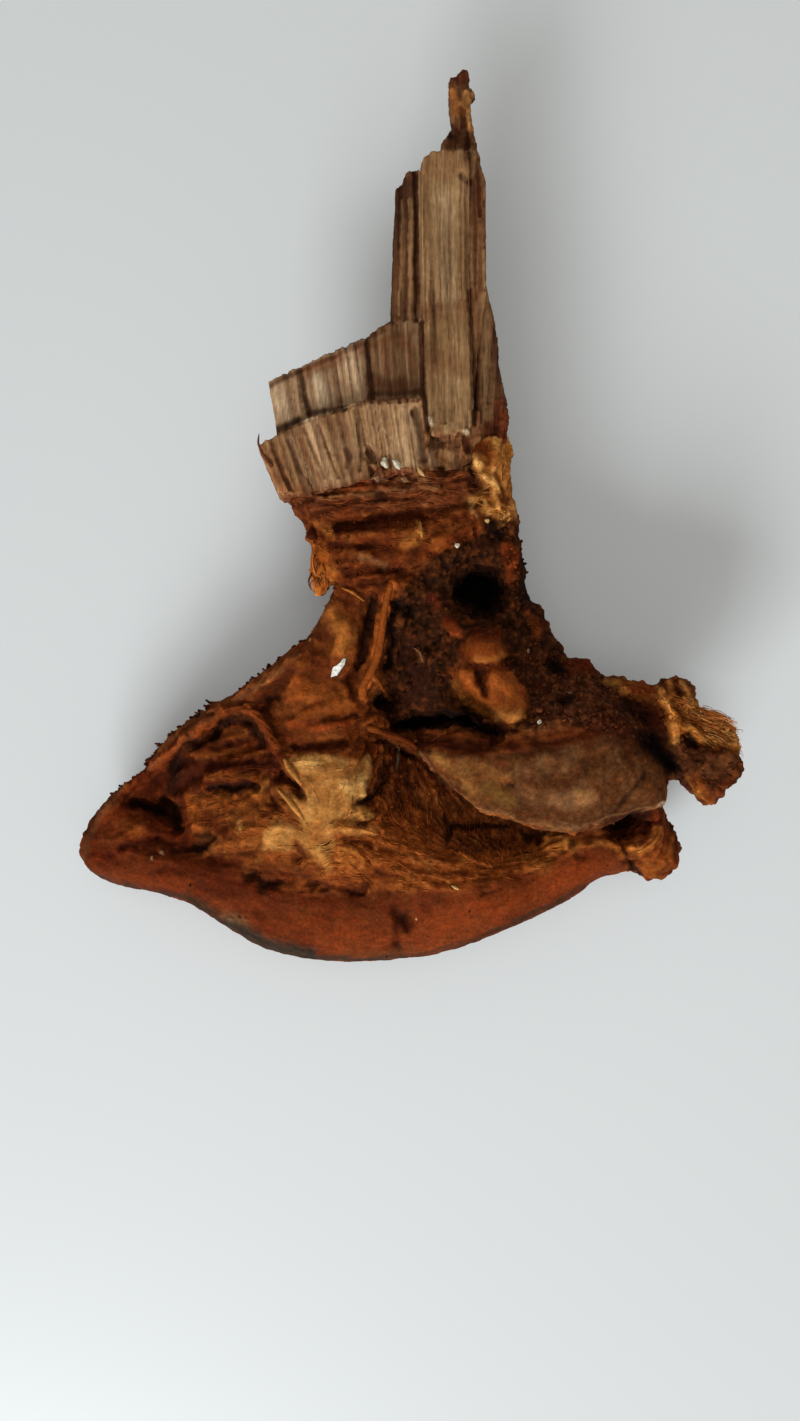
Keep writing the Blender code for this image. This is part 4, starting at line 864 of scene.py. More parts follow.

# Dark strokes that cut the wood down are partly its own colour and partly painted shade in the splits and
# steps.
WOOD_STROKES = (
    (((467, 180), (466, 240), (468, 300)), 2, "brown wood", 0.7, -0.5),
    (((470, 290), (472, 330), (474, 380), (475, 424)), 2.5, "umber", 0.9, -0.6),
    (((484, 300), (486, 350), (488, 415)), 6, "wood", 0.5, 0.0),
    (((477, 160), (478, 190), (480, 215)), 1.8, "umber", 0.7, -0.4),
    (((484, 200), (484, 250), (485, 290)), 1.2, "umber", 0.5, -0.2),
    (((474, 180), (475, 240), (476, 300)), 1.2, "umber", 0.5, -0.2),
    (((422, 322), (423, 360), (424, 395), (427, 430)), 2.5, "umber", 0.9, -0.4),
    (((443, 200), (446, 260), (446, 300)), 12, "pale wood", 0.3, 0.0),
    (((424, 309), (440, 307), (456, 306), (470, 303)), 5, "brown wood", 0.4, 0.0),
    (((430, 352), (448, 360), (462, 372)), 8, "brown wood", 0.35, 0.0),
    (((447, 375), (447, 400)), 6, "pale wood", 0.1, 0.0),
    (((431, 280), (431, 305)), 1.5, "brown wood", 0.6, -0.2),
    (((462, 175), (470, 182)), 3, "dark wood", 0.6, -0.4),
    (((408, 200), (407, 250), (405, 320)), 2, "dark wood", 0.6, -0.4),
    (((415, 175), (416, 240), (416, 320)), 2, "dark wood", 0.8, -0.6),
    (((411, 200), (411, 260), (410, 315)), 1.5, "wood", 0.6, 0.3),
    (((402, 200), (401, 260), (399, 315)), 1.2, "wood", 0.4, 0.2),
    (((396, 190), (395, 250), (391, 320)), 2, "dark wood", 0.5, 0.0),
    (((424, 175), (425, 250), (426, 320)), 1.5, "brown wood", 0.5, -0.1),
    (((440, 170), (440, 240), (441, 310)), 1.0, "brown wood", 0.5, -0.1),
    (((450, 175), (450, 240), (451, 300)), 0.9, "brown wood", 0.45, -0.1),
    (((461, 172), (461, 240), (462, 300)), 1.2, "brown wood", 0.5, -0.15),
    (((436, 325), (438, 380), (440, 430)), 1.0, "brown wood", 0.4, -0.1),
    (((454, 320), (456, 380), (460, 428)), 1.0, "brown wood", 0.4, -0.1),
    (((483, 250), (487, 300)), 2.0, "wood", 0.5, 0.2),
    (((497, 330), (499, 370), (503, 410)), 3.5, "dark wood", 0.7, 0.0),
    (((270, 386), (286, 377), (300, 371), (316, 364), (334, 357), (352, 349), (366, 342)), 3, "umber",
     0.75, 0.0),
    (((304, 374), (320, 367), (338, 360), (362, 350)), 6, "orange brown", 0.55, 0.0),
    (((330, 352), (350, 345), (372, 336), (384, 330)), 3, "umber", 0.6, 0.0),
    (((386, 350), (389, 362), (388, 372)), 5, "red brown", 0.45, 0.0),
    (((404, 340), (410, 350), (414, 372)), 4, "brown wood", 0.6, 0.1),
    (((372, 378), (386, 384), (400, 384)), 8, "umber", 0.5, -0.1),
    (((335, 425), (346, 440), (352, 468)), 8, "umber", 0.4, 0.0),
    (((338, 402), (340, 416), (346, 432)), 6, "red brown", 0.35, 0.0),
    (((275, 478), (284, 492), (300, 492)), 6, "orange", 0.35, 0.0),
    (((290, 440), (300, 462), (308, 478)), 7, "pale wood", 0.25, 0.0),
    (((300, 440), (312, 468), (322, 482)), 2.5, "orange brown", 0.5, 0.0),
    (((314, 428), (322, 450), (330, 474)), 9, "pale wood", 0.3, 0.1),
    (((405, 405), (414, 430), (420, 455)), 3, "pale wood", 0.4, 0.0),
    (((300, 370), (304, 395), (309, 415)), 3, "dark wood", 0.8, -0.6),
    (((318, 380), (326, 400)), 7, "cream", 0.35, 0.1),
    (((280, 394), (288, 418)), 6, "cream", 0.25, 0.0),
    (((350, 355), (360, 395)), 6, "pale wood", 0.5, 0.1),
    # Painted shadows along the steps between the tiers, and painted shade at the step down to the east part.
    (((276, 430), (290, 424), (300, 420)), 4, "dark wood", 0.85, -0.3),
    (((308, 414), (325, 411), (345, 409)), 3, "dark wood", 0.8, -0.3),
    (((372, 394), (395, 394), (420, 392)), 3, "dark wood", 0.7, -0.2),
    (((366, 345), (368, 370), (372, 398)), 4, "dark wood", 0.8, -0.4),
    (((385, 340), (400, 336)), 5, "brown wood", 0.6, 0.0),
    (((346, 449), (350, 457), (346, 466)), 3, "dark wood", 0.6, -0.3),
    (((359, 420), (361, 440), (361, 470)), 2.2, "dark wood", 0.7, -0.4),
    (((367, 452), (375, 457), (383, 466)), 5, "umber", 0.75, -0.9),
    (((376, 470), (390, 472), (406, 474)), 5, "rust", 0.6, -0.3),
    (((390, 456), (391, 466)), 2, "umber", 0.8, -0.4),
    (((284, 502), (300, 498), (330, 491), (370, 481), (396, 475), (412, 470)), 5, "red brown", 0.75, 0.0),
    (((268, 452), (280, 476), (292, 494)), 8, "orange brown", 0.3, 0.0),
    (((370, 346), (386, 342), (404, 344)), 5, "brown wood", 0.5, 0.0),
    (((373, 385), (395, 388), (418, 390)), 6, "brown wood", 0.4, 0.0),
    (((370, 410), (385, 435), (392, 450)), 9, "pale wood", 0.15, 0.1),
    (((415, 410), (420, 435), (422, 460)), 4, "dark wood", 0.8, -0.6),
    (((318, 425), (330, 455), (338, 478)), 2, "brown wood", 0.7, -0.3),
    (((303, 428), (315, 455), (325, 478)), 2, "brown wood", 0.7, -0.3),
    (((288, 440), (300, 468), (308, 485)), 2, "brown wood", 0.7, -0.3),
    (((272, 450), (284, 478), (294, 492)), 2, "brown wood", 0.7, -0.3),
    (((432, 444), (442, 440), (452, 443)), 6, "plum", 0.6, -0.5),
    (((451, 453), (457, 465)), 4, "wood", 0.6, 0.3),
    (((438, 470), (443, 470)), 3, "deep shade", 0.9, -0.8),
    (((429, 454), (434, 468)), 4, "pale wood", 0.5, 0.3),
    (((466, 436), (468, 450)), 4, "red brown", 0.7, -0.3),
    (((430, 418), (432, 424)), 3, "pale wood", 0.8, 0.4),
    (((466, 431), (468, 433)), 3, "pale wood", 0.8, 0.4),
    (((453, 78), (460, 78), (466, 78)), 7, "red brown", 0.7, 0.0),
    (((452, 92), (456, 102), (458, 112)), 5, "amber", 0.6, 0.1),
    (((466, 92), (467, 108), (470, 128)), 3.5, "tan", 0.6, 0.2),
    (((472, 90), (474, 93)), 2, "orange brown", 0.7, 0.0),
    (((461, 108), (462, 118), (463, 126)), 2.5, "umber", 0.7, -0.3),
    (((452, 126), (458, 132), (456, 142)), 3, "umber", 0.7, -0.3),
    (((450, 134), (452, 136)), 3, "deep shade", 0.8, -0.4),
    (((467, 138), (468, 158)), 3, "umber", 0.8, -0.5),
)


def area_weight(seen, outline, soft):
    """1 well inside an outline, 0 well outside, with a soft edge."""
    outline = np.array(outline, float)
    near = ((seen > outline.min(0) - soft) & (seen < outline.max(0) + soft)).all(1)
    weight = np.zeros(len(seen))
    weight[near] = smooth_step(0.5 + depth_inside(seen[near], outline) / soft)
    return weight


def stroke_weight(seen, path, half_width):
    """1 along a line, falling to 0 beyond its half width."""
    path = np.array(path, float)
    reach = 2.0 * half_width
    near = ((seen > path.min(0) - reach) & (seen < path.max(0) + reach)).all(1)
    weight = np.zeros(len(seen))
    weight[near] = np.exp(-((distance_to_path(seen[near], path) / half_width) ** 3))
    return weight


def ragged(points, seen, push=3.0):
    """The places in the photograph, pushed about a little, so that every edge drawn there is ragged."""
    flat = points * (1.0, 1.0, 0.6)
    coarse = np.column_stack((noise(flat, 3.0, seed=1), noise(flat, 3.0, seed=2)))
    fine = np.column_stack((noise(flat, 0.9, seed=3), noise(flat, 0.9, seed=4)))
    return seen + push * coarse + 0.6 * push * fine


def grain_direction(points, normals, reach=22.0):
    """Which way the flesh's fibres run at each point, as a unit vector that lies in the surface."""
    seen = seen_at(points)
    doubled = np.zeros((len(points), 2))
    for guide in GRAIN:
        guide = np.array(guide, float)
        for start, end in zip(guide[:-1], guide[1:]):
            along = end - start
            angle = 2.0 * math.atan2(-along[1], along[0])
            share = np.clip((seen - start) @ along / (along @ along), 0.0, 1.0)
            away = seen - start - share[:, None] * along
            weight = np.exp(-np.sqrt((away ** 2).sum(1) + 1.0) / reach * 2.0)
            doubled += weight[:, None] * (math.cos(angle), math.sin(angle))
    angle = np.arctan2(doubled[:, 1], doubled[:, 0]) / 2.0
    direction = np.column_stack((np.cos(angle), np.sin(angle), np.zeros(len(points))))
    direction -= normals * (direction * normals).sum(1)[:, None]
    return direction / np.maximum(np.linalg.norm(direction, axis=1), 0.1)[:, None]


def mixed(name, amount):
    """A colour from one of the mixes, for amounts from 0, its dips, to 1, its ridges."""
    dips, flanks, ridges = (linear(colour) for colour in MIXES[name])
    low = np.clip(amount * 2.0, 0.0, 1.0)[:, None]
    high = np.clip(amount * 2.0 - 1.0, 0.0, 1.0)[:, None]
    return dips + (flanks - dips) * low + (ridges - flanks) * high


def painted(points, seen, amount, areas, strokes, base, push=3.0, shown=1.0):
    """A colour for each point: the areas' mixes, with the strokes over them where they are shown."""
    drawn = ragged(points, seen, push)
    colour = mixed(base, amount)
    for outline, soft, mix, _ in areas.values():
        weight = area_weight(drawn, outline, soft)
        near = weight > 0.0
        colour[near] += (mixed(mix, amount[near]) - colour[near]) * weight[near][:, None]
    # Strokes are darker where the amount is low: painted shade in the hollows where it follows the relief.
    shade = np.exp(0.9 * (amount - 0.5))
    for path, half_width, name, cover, _ in strokes:
        weight = cover * stroke_weight(drawn, path, half_width) * shown
        near = weight > 0.0
        target = linear(name) * shade[near][:, None]
        colour[near] += (target - colour[near]) * weight[near][:, None]
    return colour


def flesh_tint(places):
    """The flesh's colour at these places, for small pieces that lie on it."""
    amount = np.full(len(places), 0.6)
    return painted(places, seen_at(places), amount, FLESH_AREAS, FLESH_STROKES, "slope") * FLESH_WARMTH


def carve(points, normals, strokes, push=2.5):
    """Moves the points that look up by the strokes' rise."""
    drawn = ragged(points, seen_at(points), push)
    rise = np.zeros(len(points))
    for path, half_width, _, _, height in strokes:
        if height:
            rise += height * stroke_weight(drawn, path, half_width)
    points[:, 2] += rise * looks_up(normals)


def texture_of(points, areas, base):
    """How far folds, fibres and crumbs stand out at each point."""
    seen = seen_at(points)
    texture = np.array(base)[None, :] * np.ones((len(points), 1))
    for outline, soft, _, amounts in areas.values():
        texture += (np.array(amounts) - texture) * area_weight(seen, outline, 1.5 * soft)[:, None]
    return texture.T


def relief_of(points, mesh, depth):
    """How far each point stands above its surroundings, in units of this depth."""
    height = ((points - spread_out(points, mesh_edges(mesh), 12)) * mesh_normals(mesh)).sum(1)
    return np.clip(height / depth, -2.0, 2.0)


# ---------------------------------------------------------------- the flesh
#
# The lobe: its outline, the height of its edge at the middle and how that tilts, how far its crown stands
# above the edge and over what width it rounds up, and the edge's thickness and how fast it thickens inwards.

LOBE_OUTLINE = (
    (1.8, -41.2), (4.5, -43.8), (7.0, -46.6), (10.0, -49.2), (13.0, -51.6), (15.8, -52.6), (18.8, -53.4),
    (22.5, -54.8), (27.0, -55.4), (31.0, -55.4), (35.0, -54.6), (38.0, -53.0), (42.0, -51.9), (46.3, -51.0),
    (46.5, -46.0), (45.0, -41.0), (41.0, -36.5), (36.0, -32.0), (29.0, -30.5), (20.0, -33.0), (13.0, -36.5),
    (6.0, -39.0),
)
LOBE_EDGE_HEIGHT = 31.0
LOBE_MIDDLE = 24.0
LOBE_TILT = -0.10
LOBE_CROWN = 6.4
LOBE_ROUNDING = 13.0
LOBE_EDGE_THICKNESS = 1.0
LOBE_THICKENING = 1.5

# Flaps and lumps at the edge of the flesh: the outline in pixels, the height of the top and the thickness.
FLAPS = {
    "west tuft": (
        ((330, 542), (312, 545), (309, 560), (310, 578), (312, 592), (317, 602), (321, 592), (327, 583),
         (334, 575), (342, 566), (344, 552)), 28.4, 2.5),
    "foot's ledge": (
        ((348, 490), (352, 480), (372, 474), (400, 468), (428, 466), (430, 480), (396, 489)), 31.3, 5.0),
    "west knob": (
        ((304, 530), (311, 526), (319, 528), (330, 530), (328, 540), (316, 541), (306, 540)), 27.6, 4.0),
    "chunk's knob": (
        ((665, 692), (666, 679), (677, 679), (688, 678), (694, 690), (699, 706), (684, 712), (672, 704)),
        28.8, 5.0),
    "chunk's fringe": (
        ((684, 700), (698, 708), (711, 716), (733, 723), (739, 726), (739, 743), (736, 757), (715, 752),
         (695, 735)), 28.6, 3.0),
    "chunk's end": (
        ((735, 750), (742, 759), (749, 769), (730, 787), (711, 807), (703, 797), (692, 787), (690, 765),
         (715, 748)), 29.8, 8.0),
    "chunk's rim": (
        ((606, 678), (616, 676), (632, 680), (643, 679), (646, 684), (660, 690), (664, 704), (640, 704),
         (615, 692)), 26.5, 3.0),
    "knob's shoulder": (
        ((658, 838), (668, 830), (678, 832), (681, 846), (680, 860), (676, 871), (658, 866)), 19.6, 6.0),
    "neck's bulge": (
        ((518, 585), (531, 600), (545, 610), (552, 628), (558, 641), (566, 650), (556, 668), (526, 640)),
        25.0, 4.0),
}

# How far a flap's edge lies below its top, and the widths over which its top and its underside round.
FLAP_DROP = 1.2
FLAP_ROUNDING = 1.6
FLAP_UNDER_ROUNDING = 2.0

# The notch beside the west tuft: its outline in pixels, cut along the line of sight between two heights.
NOTCH = (
    (312, 613), (316, 602), (321, 593), (328, 584), (336, 577), (339, 581), (336, 592), (330, 602),
    (325, 610), (319, 616),
)
NOTCH_HEIGHTS = (-5.0, 45.0)


def lobe_form():
    """The leathery lobe, whose thin edge overhangs the gap."""
    def edge(points):
        return LOBE_EDGE_HEIGHT + LOBE_TILT * (points[:, 0] - LOBE_MIDDLE)

    def over(points, depth):
        wrinkles = 0.5 * noise(flattened(points), 6.0, seed=20)
        lip = 0.25 * np.exp(-((depth - 0.5) / 0.5) ** 2)
        return edge(points) + LOBE_CROWN * quarter_round(depth / LOBE_ROUNDING) + wrinkles + lip

    def under(points, depth):
        return edge(points) - LOBE_EDGE_THICKNESS - LOBE_THICKENING * depth

    return blanket_form("lobe form", LOBE_OUTLINE, over, under, LOBE_CELL)


def flap_form(name):
    pixels, top, thickness = FLAPS[name]

    def over(points, depth):
        lumps = 0.5 * noise(flattened(points), 2.2, seed=21)
        return top - FLAP_DROP + FLAP_DROP * quarter_round(depth / FLAP_ROUNDING) + lumps

    def under(points, depth):
        return top - thickness * quarter_round(0.3 + depth / FLAP_UNDER_ROUNDING)

    return blanket_form(name, plan_of(pixels, top), over, under, FLAP_CELL)


def notched(obj):
    """The object with the notch cut out of it."""
    plan = bmesh.new()
    lower, upper = (
        [plan.verts.new(at_pixel(pixel, height) * MM) for pixel in NOTCH] for height in NOTCH_HEIGHTS)
    plan.faces.new(lower)
    plan.faces.new(upper[::-1])
    for number in range(len(NOTCH)):
        plan.faces.new((upper[number - 1], upper[number], lower[number], lower[number - 1]))
    bmesh.ops.recalc_face_normals(plan, faces=plan.faces)
    cutter = new_object("notch", mesh_from(plan, "notch"))
    cut = obj.modifiers.new("notch", "BOOLEAN")
    cut.operation = "DIFFERENCE"
    cut.object = cutter
    mesh = evaluated_mesh(obj)
    bpy.data.objects.remove(cutter)
    return new_object("notched flesh", mesh)


def swell_lumps(points, normals):
    """Raises the smooth lumps of the torn face."""
    drawn = ragged(points, seen_at(points), 1.5)
    for name, (rise, rounding) in LUMPS.items():
        depth = depth_inside(drawn, FLESH_AREAS[name][0])
        points[:, 2] += rise * quarter_round(depth / rounding) * looks_up(normals)


def growth(points):
    """How far each point has grown out from the trunk, a little unevenly."""
    reach = np.linalg.norm(points[:, :2] - TRUNK, axis=1) + 0.6 * points[:, 2]
    return reach + 1.6 * noise(points, 14.0, seed=30) + 0.5 * noise(points, 4.0, seed=31)


def rings(grown, width):
    """Waves from -1 to 1, one to each ring of growth of this width."""
    return np.sin(grown * math.tau / width)


def ring_cap(points, normals):
    """Moves the points of the cap along their normals: growth zones, fine rings and pores."""
    grown = growth(points)
    rise = 0.30 * rings(grown, ZONE_WIDTH) + 0.14 * rings(grown, RING_WIDTH)
    rise += 0.22 * layered_noise(points, 2.0, 3, seed=65)
    rise += 0.5 * layered_noise(points, 9.0, 2, seed=64)
    points += normals * (rise * looks_down(normals))[:, None]


def cap_colour(points):
    """The crust of the cap: growth zones round the trunk's side, dusty between, rusty at the margin."""
    grown = growth(points)
    zone = 0.5 + 0.5 * rings(grown, ZONE_WIDTH)
    fine_zone = 0.5 + 0.5 * rings(grown, RING_WIDTH)
    colour = linear("crust")[None, :] * np.ones((len(points), 1))
    for name, weight in (
        ("umber", 0.45 * zone),
        ("ash", 0.7 * (1.0 - zone) * fine_zone),
        ("slate", 0.6 * smooth_step(0.5 + noise(points, 5.0, seed=32))),
        ("rust", 0.5 * smooth_step((grown - RUSTY_FROM) / 8.0)),
    ):
        colour += (linear(name) - colour) * weight[:, None]
    return colour


def thinned_below(mesh, keep):
    """The mesh with fewer faces where it looks down, down to this share of them."""
    obj = new_object("flesh to thin", mesh)
    group = obj.vertex_groups.new(name="cap")
    looking_down = np.nonzero(mesh_normals(mesh)[:, 2] < THINNED_FROM)[0]
    group.add(looking_down.tolist(), 1.0, "REPLACE")
    decimate = obj.modifiers.new("plain cap", "DECIMATE")
    decimate.ratio = keep
    decimate.vertex_group = "cap"
    decimate.vertex_group_factor = 10.0
    return evaluated_mesh(obj)


def flesh_skin():
    """The flesh's forms as one skin, with the torn face carved, the cap ringed and its faces thinned."""
    forms = [notched(copy_of_node("bracket")), lobe_form()] + [flap_form(name) for name in FLAPS]
    mesh = voxel_remeshed(joined(forms, "flesh forms"), FORM_CELL)
    points = spread_out(mesh_points(mesh), mesh_edges(mesh), 6)
    set_mesh_points(mesh, points)
    normals = mesh_normals(mesh)
    carve(points, normals, FLESH_STROKES)
    swell_lumps(points, normals)
    set_mesh_points(mesh, points)
    mesh = voxel_remeshed(new_object("carved flesh", mesh), FLESH_CELL)
    points = mesh_points(mesh)
    ring_cap(points, mesh_normals(mesh))
    set_mesh_points(mesh, points)
    return thinned_below(mesh, FLESH_KEPT)


def roughen_face(points, normals, direction):
    """Moves the points of the torn face along their normals: folds, fibres and crumbs."""
    folds, fibres, crumbs = texture_of(points, FLESH_AREAS, (0.3, 0.1, 0.2))
    lobe = area_weight(seen_at(points), FLESH_AREAS["lobe"][0], 8) * (points[:, 2] > 28.5)
    face = folds * combed_noise(points, direction, 2.4, 10.0, seed=60)
    face += fibres * combed_noise(points, direction, 1.0, 6.0, seed=61)
    face += 0.6 * fibres * combed_noise(points, direction, 0.6, 3.5, seed=62)
    face += crumbs * (layered_noise(points, 2.4, 3, seed=63) + 0.9 * np.abs(noise(points, 1.3, seed=66)))
    leather = 0.30 * np.abs(noise(points, 1.8, seed=67))
    leather += 0.30 * noise(points, 4.5, seed=68)
    leather += 0.10 * noise(points, 0.9, seed=69)
    face += (leather - face) * lobe
    points += normals * (face * (1.0 - looks_down(normals)))[:, None]
    return folds + fibres, crumbs


def settle(points):
    """Presses the crown of the cap flat on the ground."""
    points[:, 2] = np.maximum(points[:, 2] - 0.7 * smooth_step((4.0 - points[:, 2]) / 4.0), 0.0)


def face_colour(points, normals, amount):
    """The torn face's areas and strokes. They run on, out of place and weathered, where it looks away."""
    facing = faces_camera(points, normals)
    seen = seen_at(points)
    guessed = 1.0 - smooth_step(facing / GLANCING)
    for axis, inwards in ((0, 0.0), (1, 6.0)):
        wide = 24.0 * noise(points, (8.0, 8.0, 5.0), seed=5 + axis)
        seen[:, axis] += guessed * (inwards + wide + 8.0 * noise(points, 2.0, seed=axis))
    shown = smooth_step(1.0 + facing / UNSEEN)
    colour = painted(points, seen, amount, FLESH_AREAS, FLESH_STROKES, "slope", shown=shown)
    weathered = 0.6 * (1.0 - shown) * smooth_step(0.3 + 1.2 * noise(points, (9.0, 9.0, 4.0), seed=33))
    colour += (linear("slate") - colour) * weathered[:, None]
    return colour


def make_flesh(material):
    mesh = flesh_skin()
    points, normals = mesh_points(mesh), mesh_normals(mesh)
    direction = grain_direction(points, normals)
    fibrous, crumbly = roughen_face(points, normals, direction)
    settle(points)
    set_mesh_points(mesh, points)

    normals = mesh_normals(mesh)
    relief = relief_of(points, mesh, 0.3)
    amount = 0.5 + 0.28 * fibrous * combed_noise(points, direction, 0.8, 6.0, seed=80)
    amount += 0.18 * layered_noise(points, 2.6, 3, seed=81)
    amount += 0.14 * layered_noise(points, 7.0, 2, seed=85)
    # The relief lightens ridges and darkens hollows: painted light and painted shade.
    amount += 0.18 * relief
    amount += (0.10 + 0.35 * crumbly) * layered_noise(points, 0.9, 2, seed=87)
    colour = face_colour(points, normals, amount)
    # Painted shade in hollows and painted light on ridges, by the relief.
    colour *= np.exp(0.2 * relief)[:, None]
    hue = noise(points, 2.2, seed=88) + 0.7 * noise(points, 0.9, seed=89)
    colour *= 1.0 + hue[:, None] * HUE_SWING
    colour += (cap_colour(points) - colour) * looks_down(normals)[:, None]
    set_tint(mesh, colour * FLESH_WARMTH)

    flesh = new_object("fungus_flesh", mesh, material)
    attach(flesh, "root")
    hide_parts("bracket")
    return flesh


# ---------------------------------------------------------------- the wood
#
# A splinter's bundles, each a fan of strips: the lines in pixels where the strips' tips and their feet are,
# the heights of its top and its underside, how many strips, and how ragged their ends are in millimetres.

BUNDLES = {
    "wood_slab": (
        (((421, 166), (424, 156), (432, 151), (445, 149), (468, 148)),
         ((424, 436), (436, 437), (450, 436), (472, 430)), 31.2, 23.6, 9, 0.4),
        (((468, 149), (476, 153), (482, 164), (486, 182)), ((472, 428), (478, 350), (486, 300)),
         30.4, 23.6, 4, 0.5),
        (((427, 412), (480, 408)), ((424, 478), (482, 478)), 29.8, 23.4, 12, 1.5),
        (((396, 190), (402, 180), (409, 173), (419, 167)), ((391, 326), (404, 324), (421, 322)),
         28.6, 23.6, 5, 0.4),
    ),
    "wood_block": (
        (((268, 381), (300, 366), (330, 352), (365, 337)),
         ((277, 436), (312, 424), (345, 416), (376, 412)), 30.0, 22.5, 13, 0.2),
        (((364, 338), (381, 326), (394, 321), (422, 316)), ((368, 412), (396, 410), (424, 408)),
         29.0, 22.5, 7, 0.2),
        (((258, 446), (277, 434), (311, 416), (340, 406), (372, 399), (407, 397), (424, 396)),
         ((277, 491), (303, 495), (332, 489), (362, 482), (396, 474), (432, 470)), 32.2, 21.0, 20, 0.3),
    ),
    "wood_edge": (
        (((482, 262), (486, 290), (492, 308), (497, 330), (499, 360), (502, 385), (507, 410)),
         ((474, 440), (480, 440), (486, 440), (492, 440), (500, 440), (507, 440)), 29.4, 23.0, 6, 0.4),
    ),
}

# How many lines across a bundle its grain is measured from, and how far apart the grains of two bundles lie.
GRAIN_LINES = 61
BUNDLE_SHIFT = 37.0

# A bundle's broad strips fill it, and twice as many fine ones stand out of it: half their widths, as a share
# of the room for one, how deep a fine one reaches, and how far a strip's two sides differ in height.
BROAD_HALF = 0.56
FINE_HALF = (0.2, 0.45)
FINE_DEPTH = 1.5
STRIP_ROLL = 0.12

# The spike at the tip of the slab, in pixels, its heights, and the width over which its edge rounds.
SPIKE_OUTLINE = (
    (449, 77), (457, 74), (464, 68), (469, 69), (469, 87), (475, 90), (476, 94), (471, 97), (470, 102),
    (472, 116), (475, 132), (477, 148), (481, 158), (480, 172), (442, 172), (440, 150), (441, 146),
    (443, 139), (448, 131), (453, 128), (451, 121), (450, 107), (449, 97), (450, 88),
)
SPIKE_TOP = 27.8
SPIKE_LOW = 24.4
SPIKE_ROUNDING = 0.8


def bar(plan, corners, low, top, roll):
    """Adds a strip of wood to a bmesh. Its corners are its left foot, right foot, right tip and left tip."""
    leans = (-roll, roll, roll, -roll)
    lower = [plan.verts.new((x * MM, y * MM, low * MM)) for x, y in corners]
    upper = [plan.verts.new((x * MM, y * MM, (top + lean) * MM)) for (x, y), lean in zip(corners, leans)]
    plan.faces.new(lower[::-1])
    plan.faces.new(upper)
    for number in range(4):
        following = (number + 1) % 4
        plan.faces.new((lower[number], lower[following], upper[following], upper[number]))


def add_bundle(plan, bundle, chance):
    """Adds a bundle's strips: broad ones that fill it, and thin ones that stand out of them."""
    tip_line, foot_line, bundle_top, bundle_low, strips, raggedness = bundle
    for fine in (False, True):
        count = strips * (2 if fine else 1)
        for number in range(count):
            top = bundle_top + chance.uniform(-0.15, 0.15) + (chance.uniform(-0.15, 0.2) if fine else 0.0)
            low = top - FINE_DEPTH if fine else bundle_low + chance.uniform(-0.8, 0.8)
            half = chance.uniform(*FINE_HALF) if fine else BROAD_HALF
            back = chance.uniform(0.0, raggedness) * (2.5 if fine else 0.8)
            forth = chance.uniform(-0.3, raggedness) * (2.0 if fine else 0.3) - 0.2
            tips, feet = [], []
            for side in (-half, half):
                share = min(max((number + 0.5 + side) / count, 0.0), 1.0)
                tip = at_pixel(along_line(tip_line, share), top)[:2]
                foot = at_pixel(along_line(foot_line, share), top)[:2]
                direction = (tip - foot) / np.linalg.norm(tip - foot)
                tips.append(tip - direction * back)
                feet.append(foot - direction * forth)
            bar(plan, feet + tips[::-1], low, top, chance.uniform(-STRIP_ROLL, STRIP_ROLL))


def grain_place(points, seen, bundle):
    """Each point's place in one bundle, in millimetres: across the grain, along it, and up."""
    shares = np.linspace(0.0, 1.0, GRAIN_LINES)
    tips, feet = (np.array([along_line(line, share) for share in shares]) for line in bundle[:2])
    run = (tips - feet).mean(0)
    run /= np.linalg.norm(run)
    side = np.array((-run[1], run[0]))
    side *= np.sign(((tips + feet)[-1] - (tips + feet)[0]) @ side)
    reached = np.concatenate(([0.0], np.cumsum(np.abs(np.diff((tips + feet) / 2.0, axis=0) @ side))))
    nearest, across = np.full(len(points), np.inf), np.zeros(len(points))
    for tip, foot, before in zip(tips, feet, reached):
        line = tip - foot
        part = np.clip((seen - foot) @ line / (line @ line), 0.0, 1.0)
        beside = seen - foot - part[:, None] * line
        away = np.linalg.norm(beside, axis=1)
        better = away < nearest
        nearest[better] = away[better]
        across[better] = before + (beside @ side)[better]
    pixel = (EYE[2] - bundle[2]) * PIXEL_SLOPE
    return np.column_stack((across * pixel, seen @ run * pixel, points[:, 2]))


def grain_places(points, node):
    """Each point's place in the bundle of the node that it lies deepest in."""
    seen = seen_at(points)
    deepest = np.full(len(points), -np.inf)
    places = np.zeros((len(points), 3))
    for number, bundle in enumerate(BUNDLES[node]):
        place = grain_place(points, seen, bundle) + BUNDLE_SHIFT * number
        depth = depth_inside(seen, bundle[0] + bundle[1][::-1])
        better = depth > deepest
        deepest[better] = depth[better]
        places[better] = place[better]
    return places


def spike_form():
    def over(points, depth):
        lumps = 0.6 * noise(flattened(points), (1.0, 3.0, 1.0), seed=90)
        return SPIKE_TOP - 1.0 + 1.2 * quarter_round(depth / SPIKE_ROUNDING) + lumps

    def under(points, depth):
        return SPIKE_LOW + 1.0 - 1.0 * quarter_round(depth / SPIKE_ROUNDING)

    return blanket_form("spike form", plan_of(SPIKE_OUTLINE, SPIKE_TOP), over, under, SPIKE_CELL)


def wood_skin(node):
    """A splinter's strips as one skin, carved, and its points."""
    chance = np.random.default_rng(SEED + len(node))
    plan = bmesh.new()
    for bundle in BUNDLES[node]:
        add_bundle(plan, bundle, chance)
    forms = [new_object(node + " strips", mesh_from(plan, node + " strips"))]
    if node == "wood_slab":
        forms.append(spike_form())
    mesh = voxel_remeshed(joined(forms, node + " forms"), WOOD_CELL)
    points = mesh_points(mesh)
    carve(points, mesh_normals(mesh), WOOD_STROKES, 0.8)
    set_mesh_points(mesh, points)
    return mesh, points


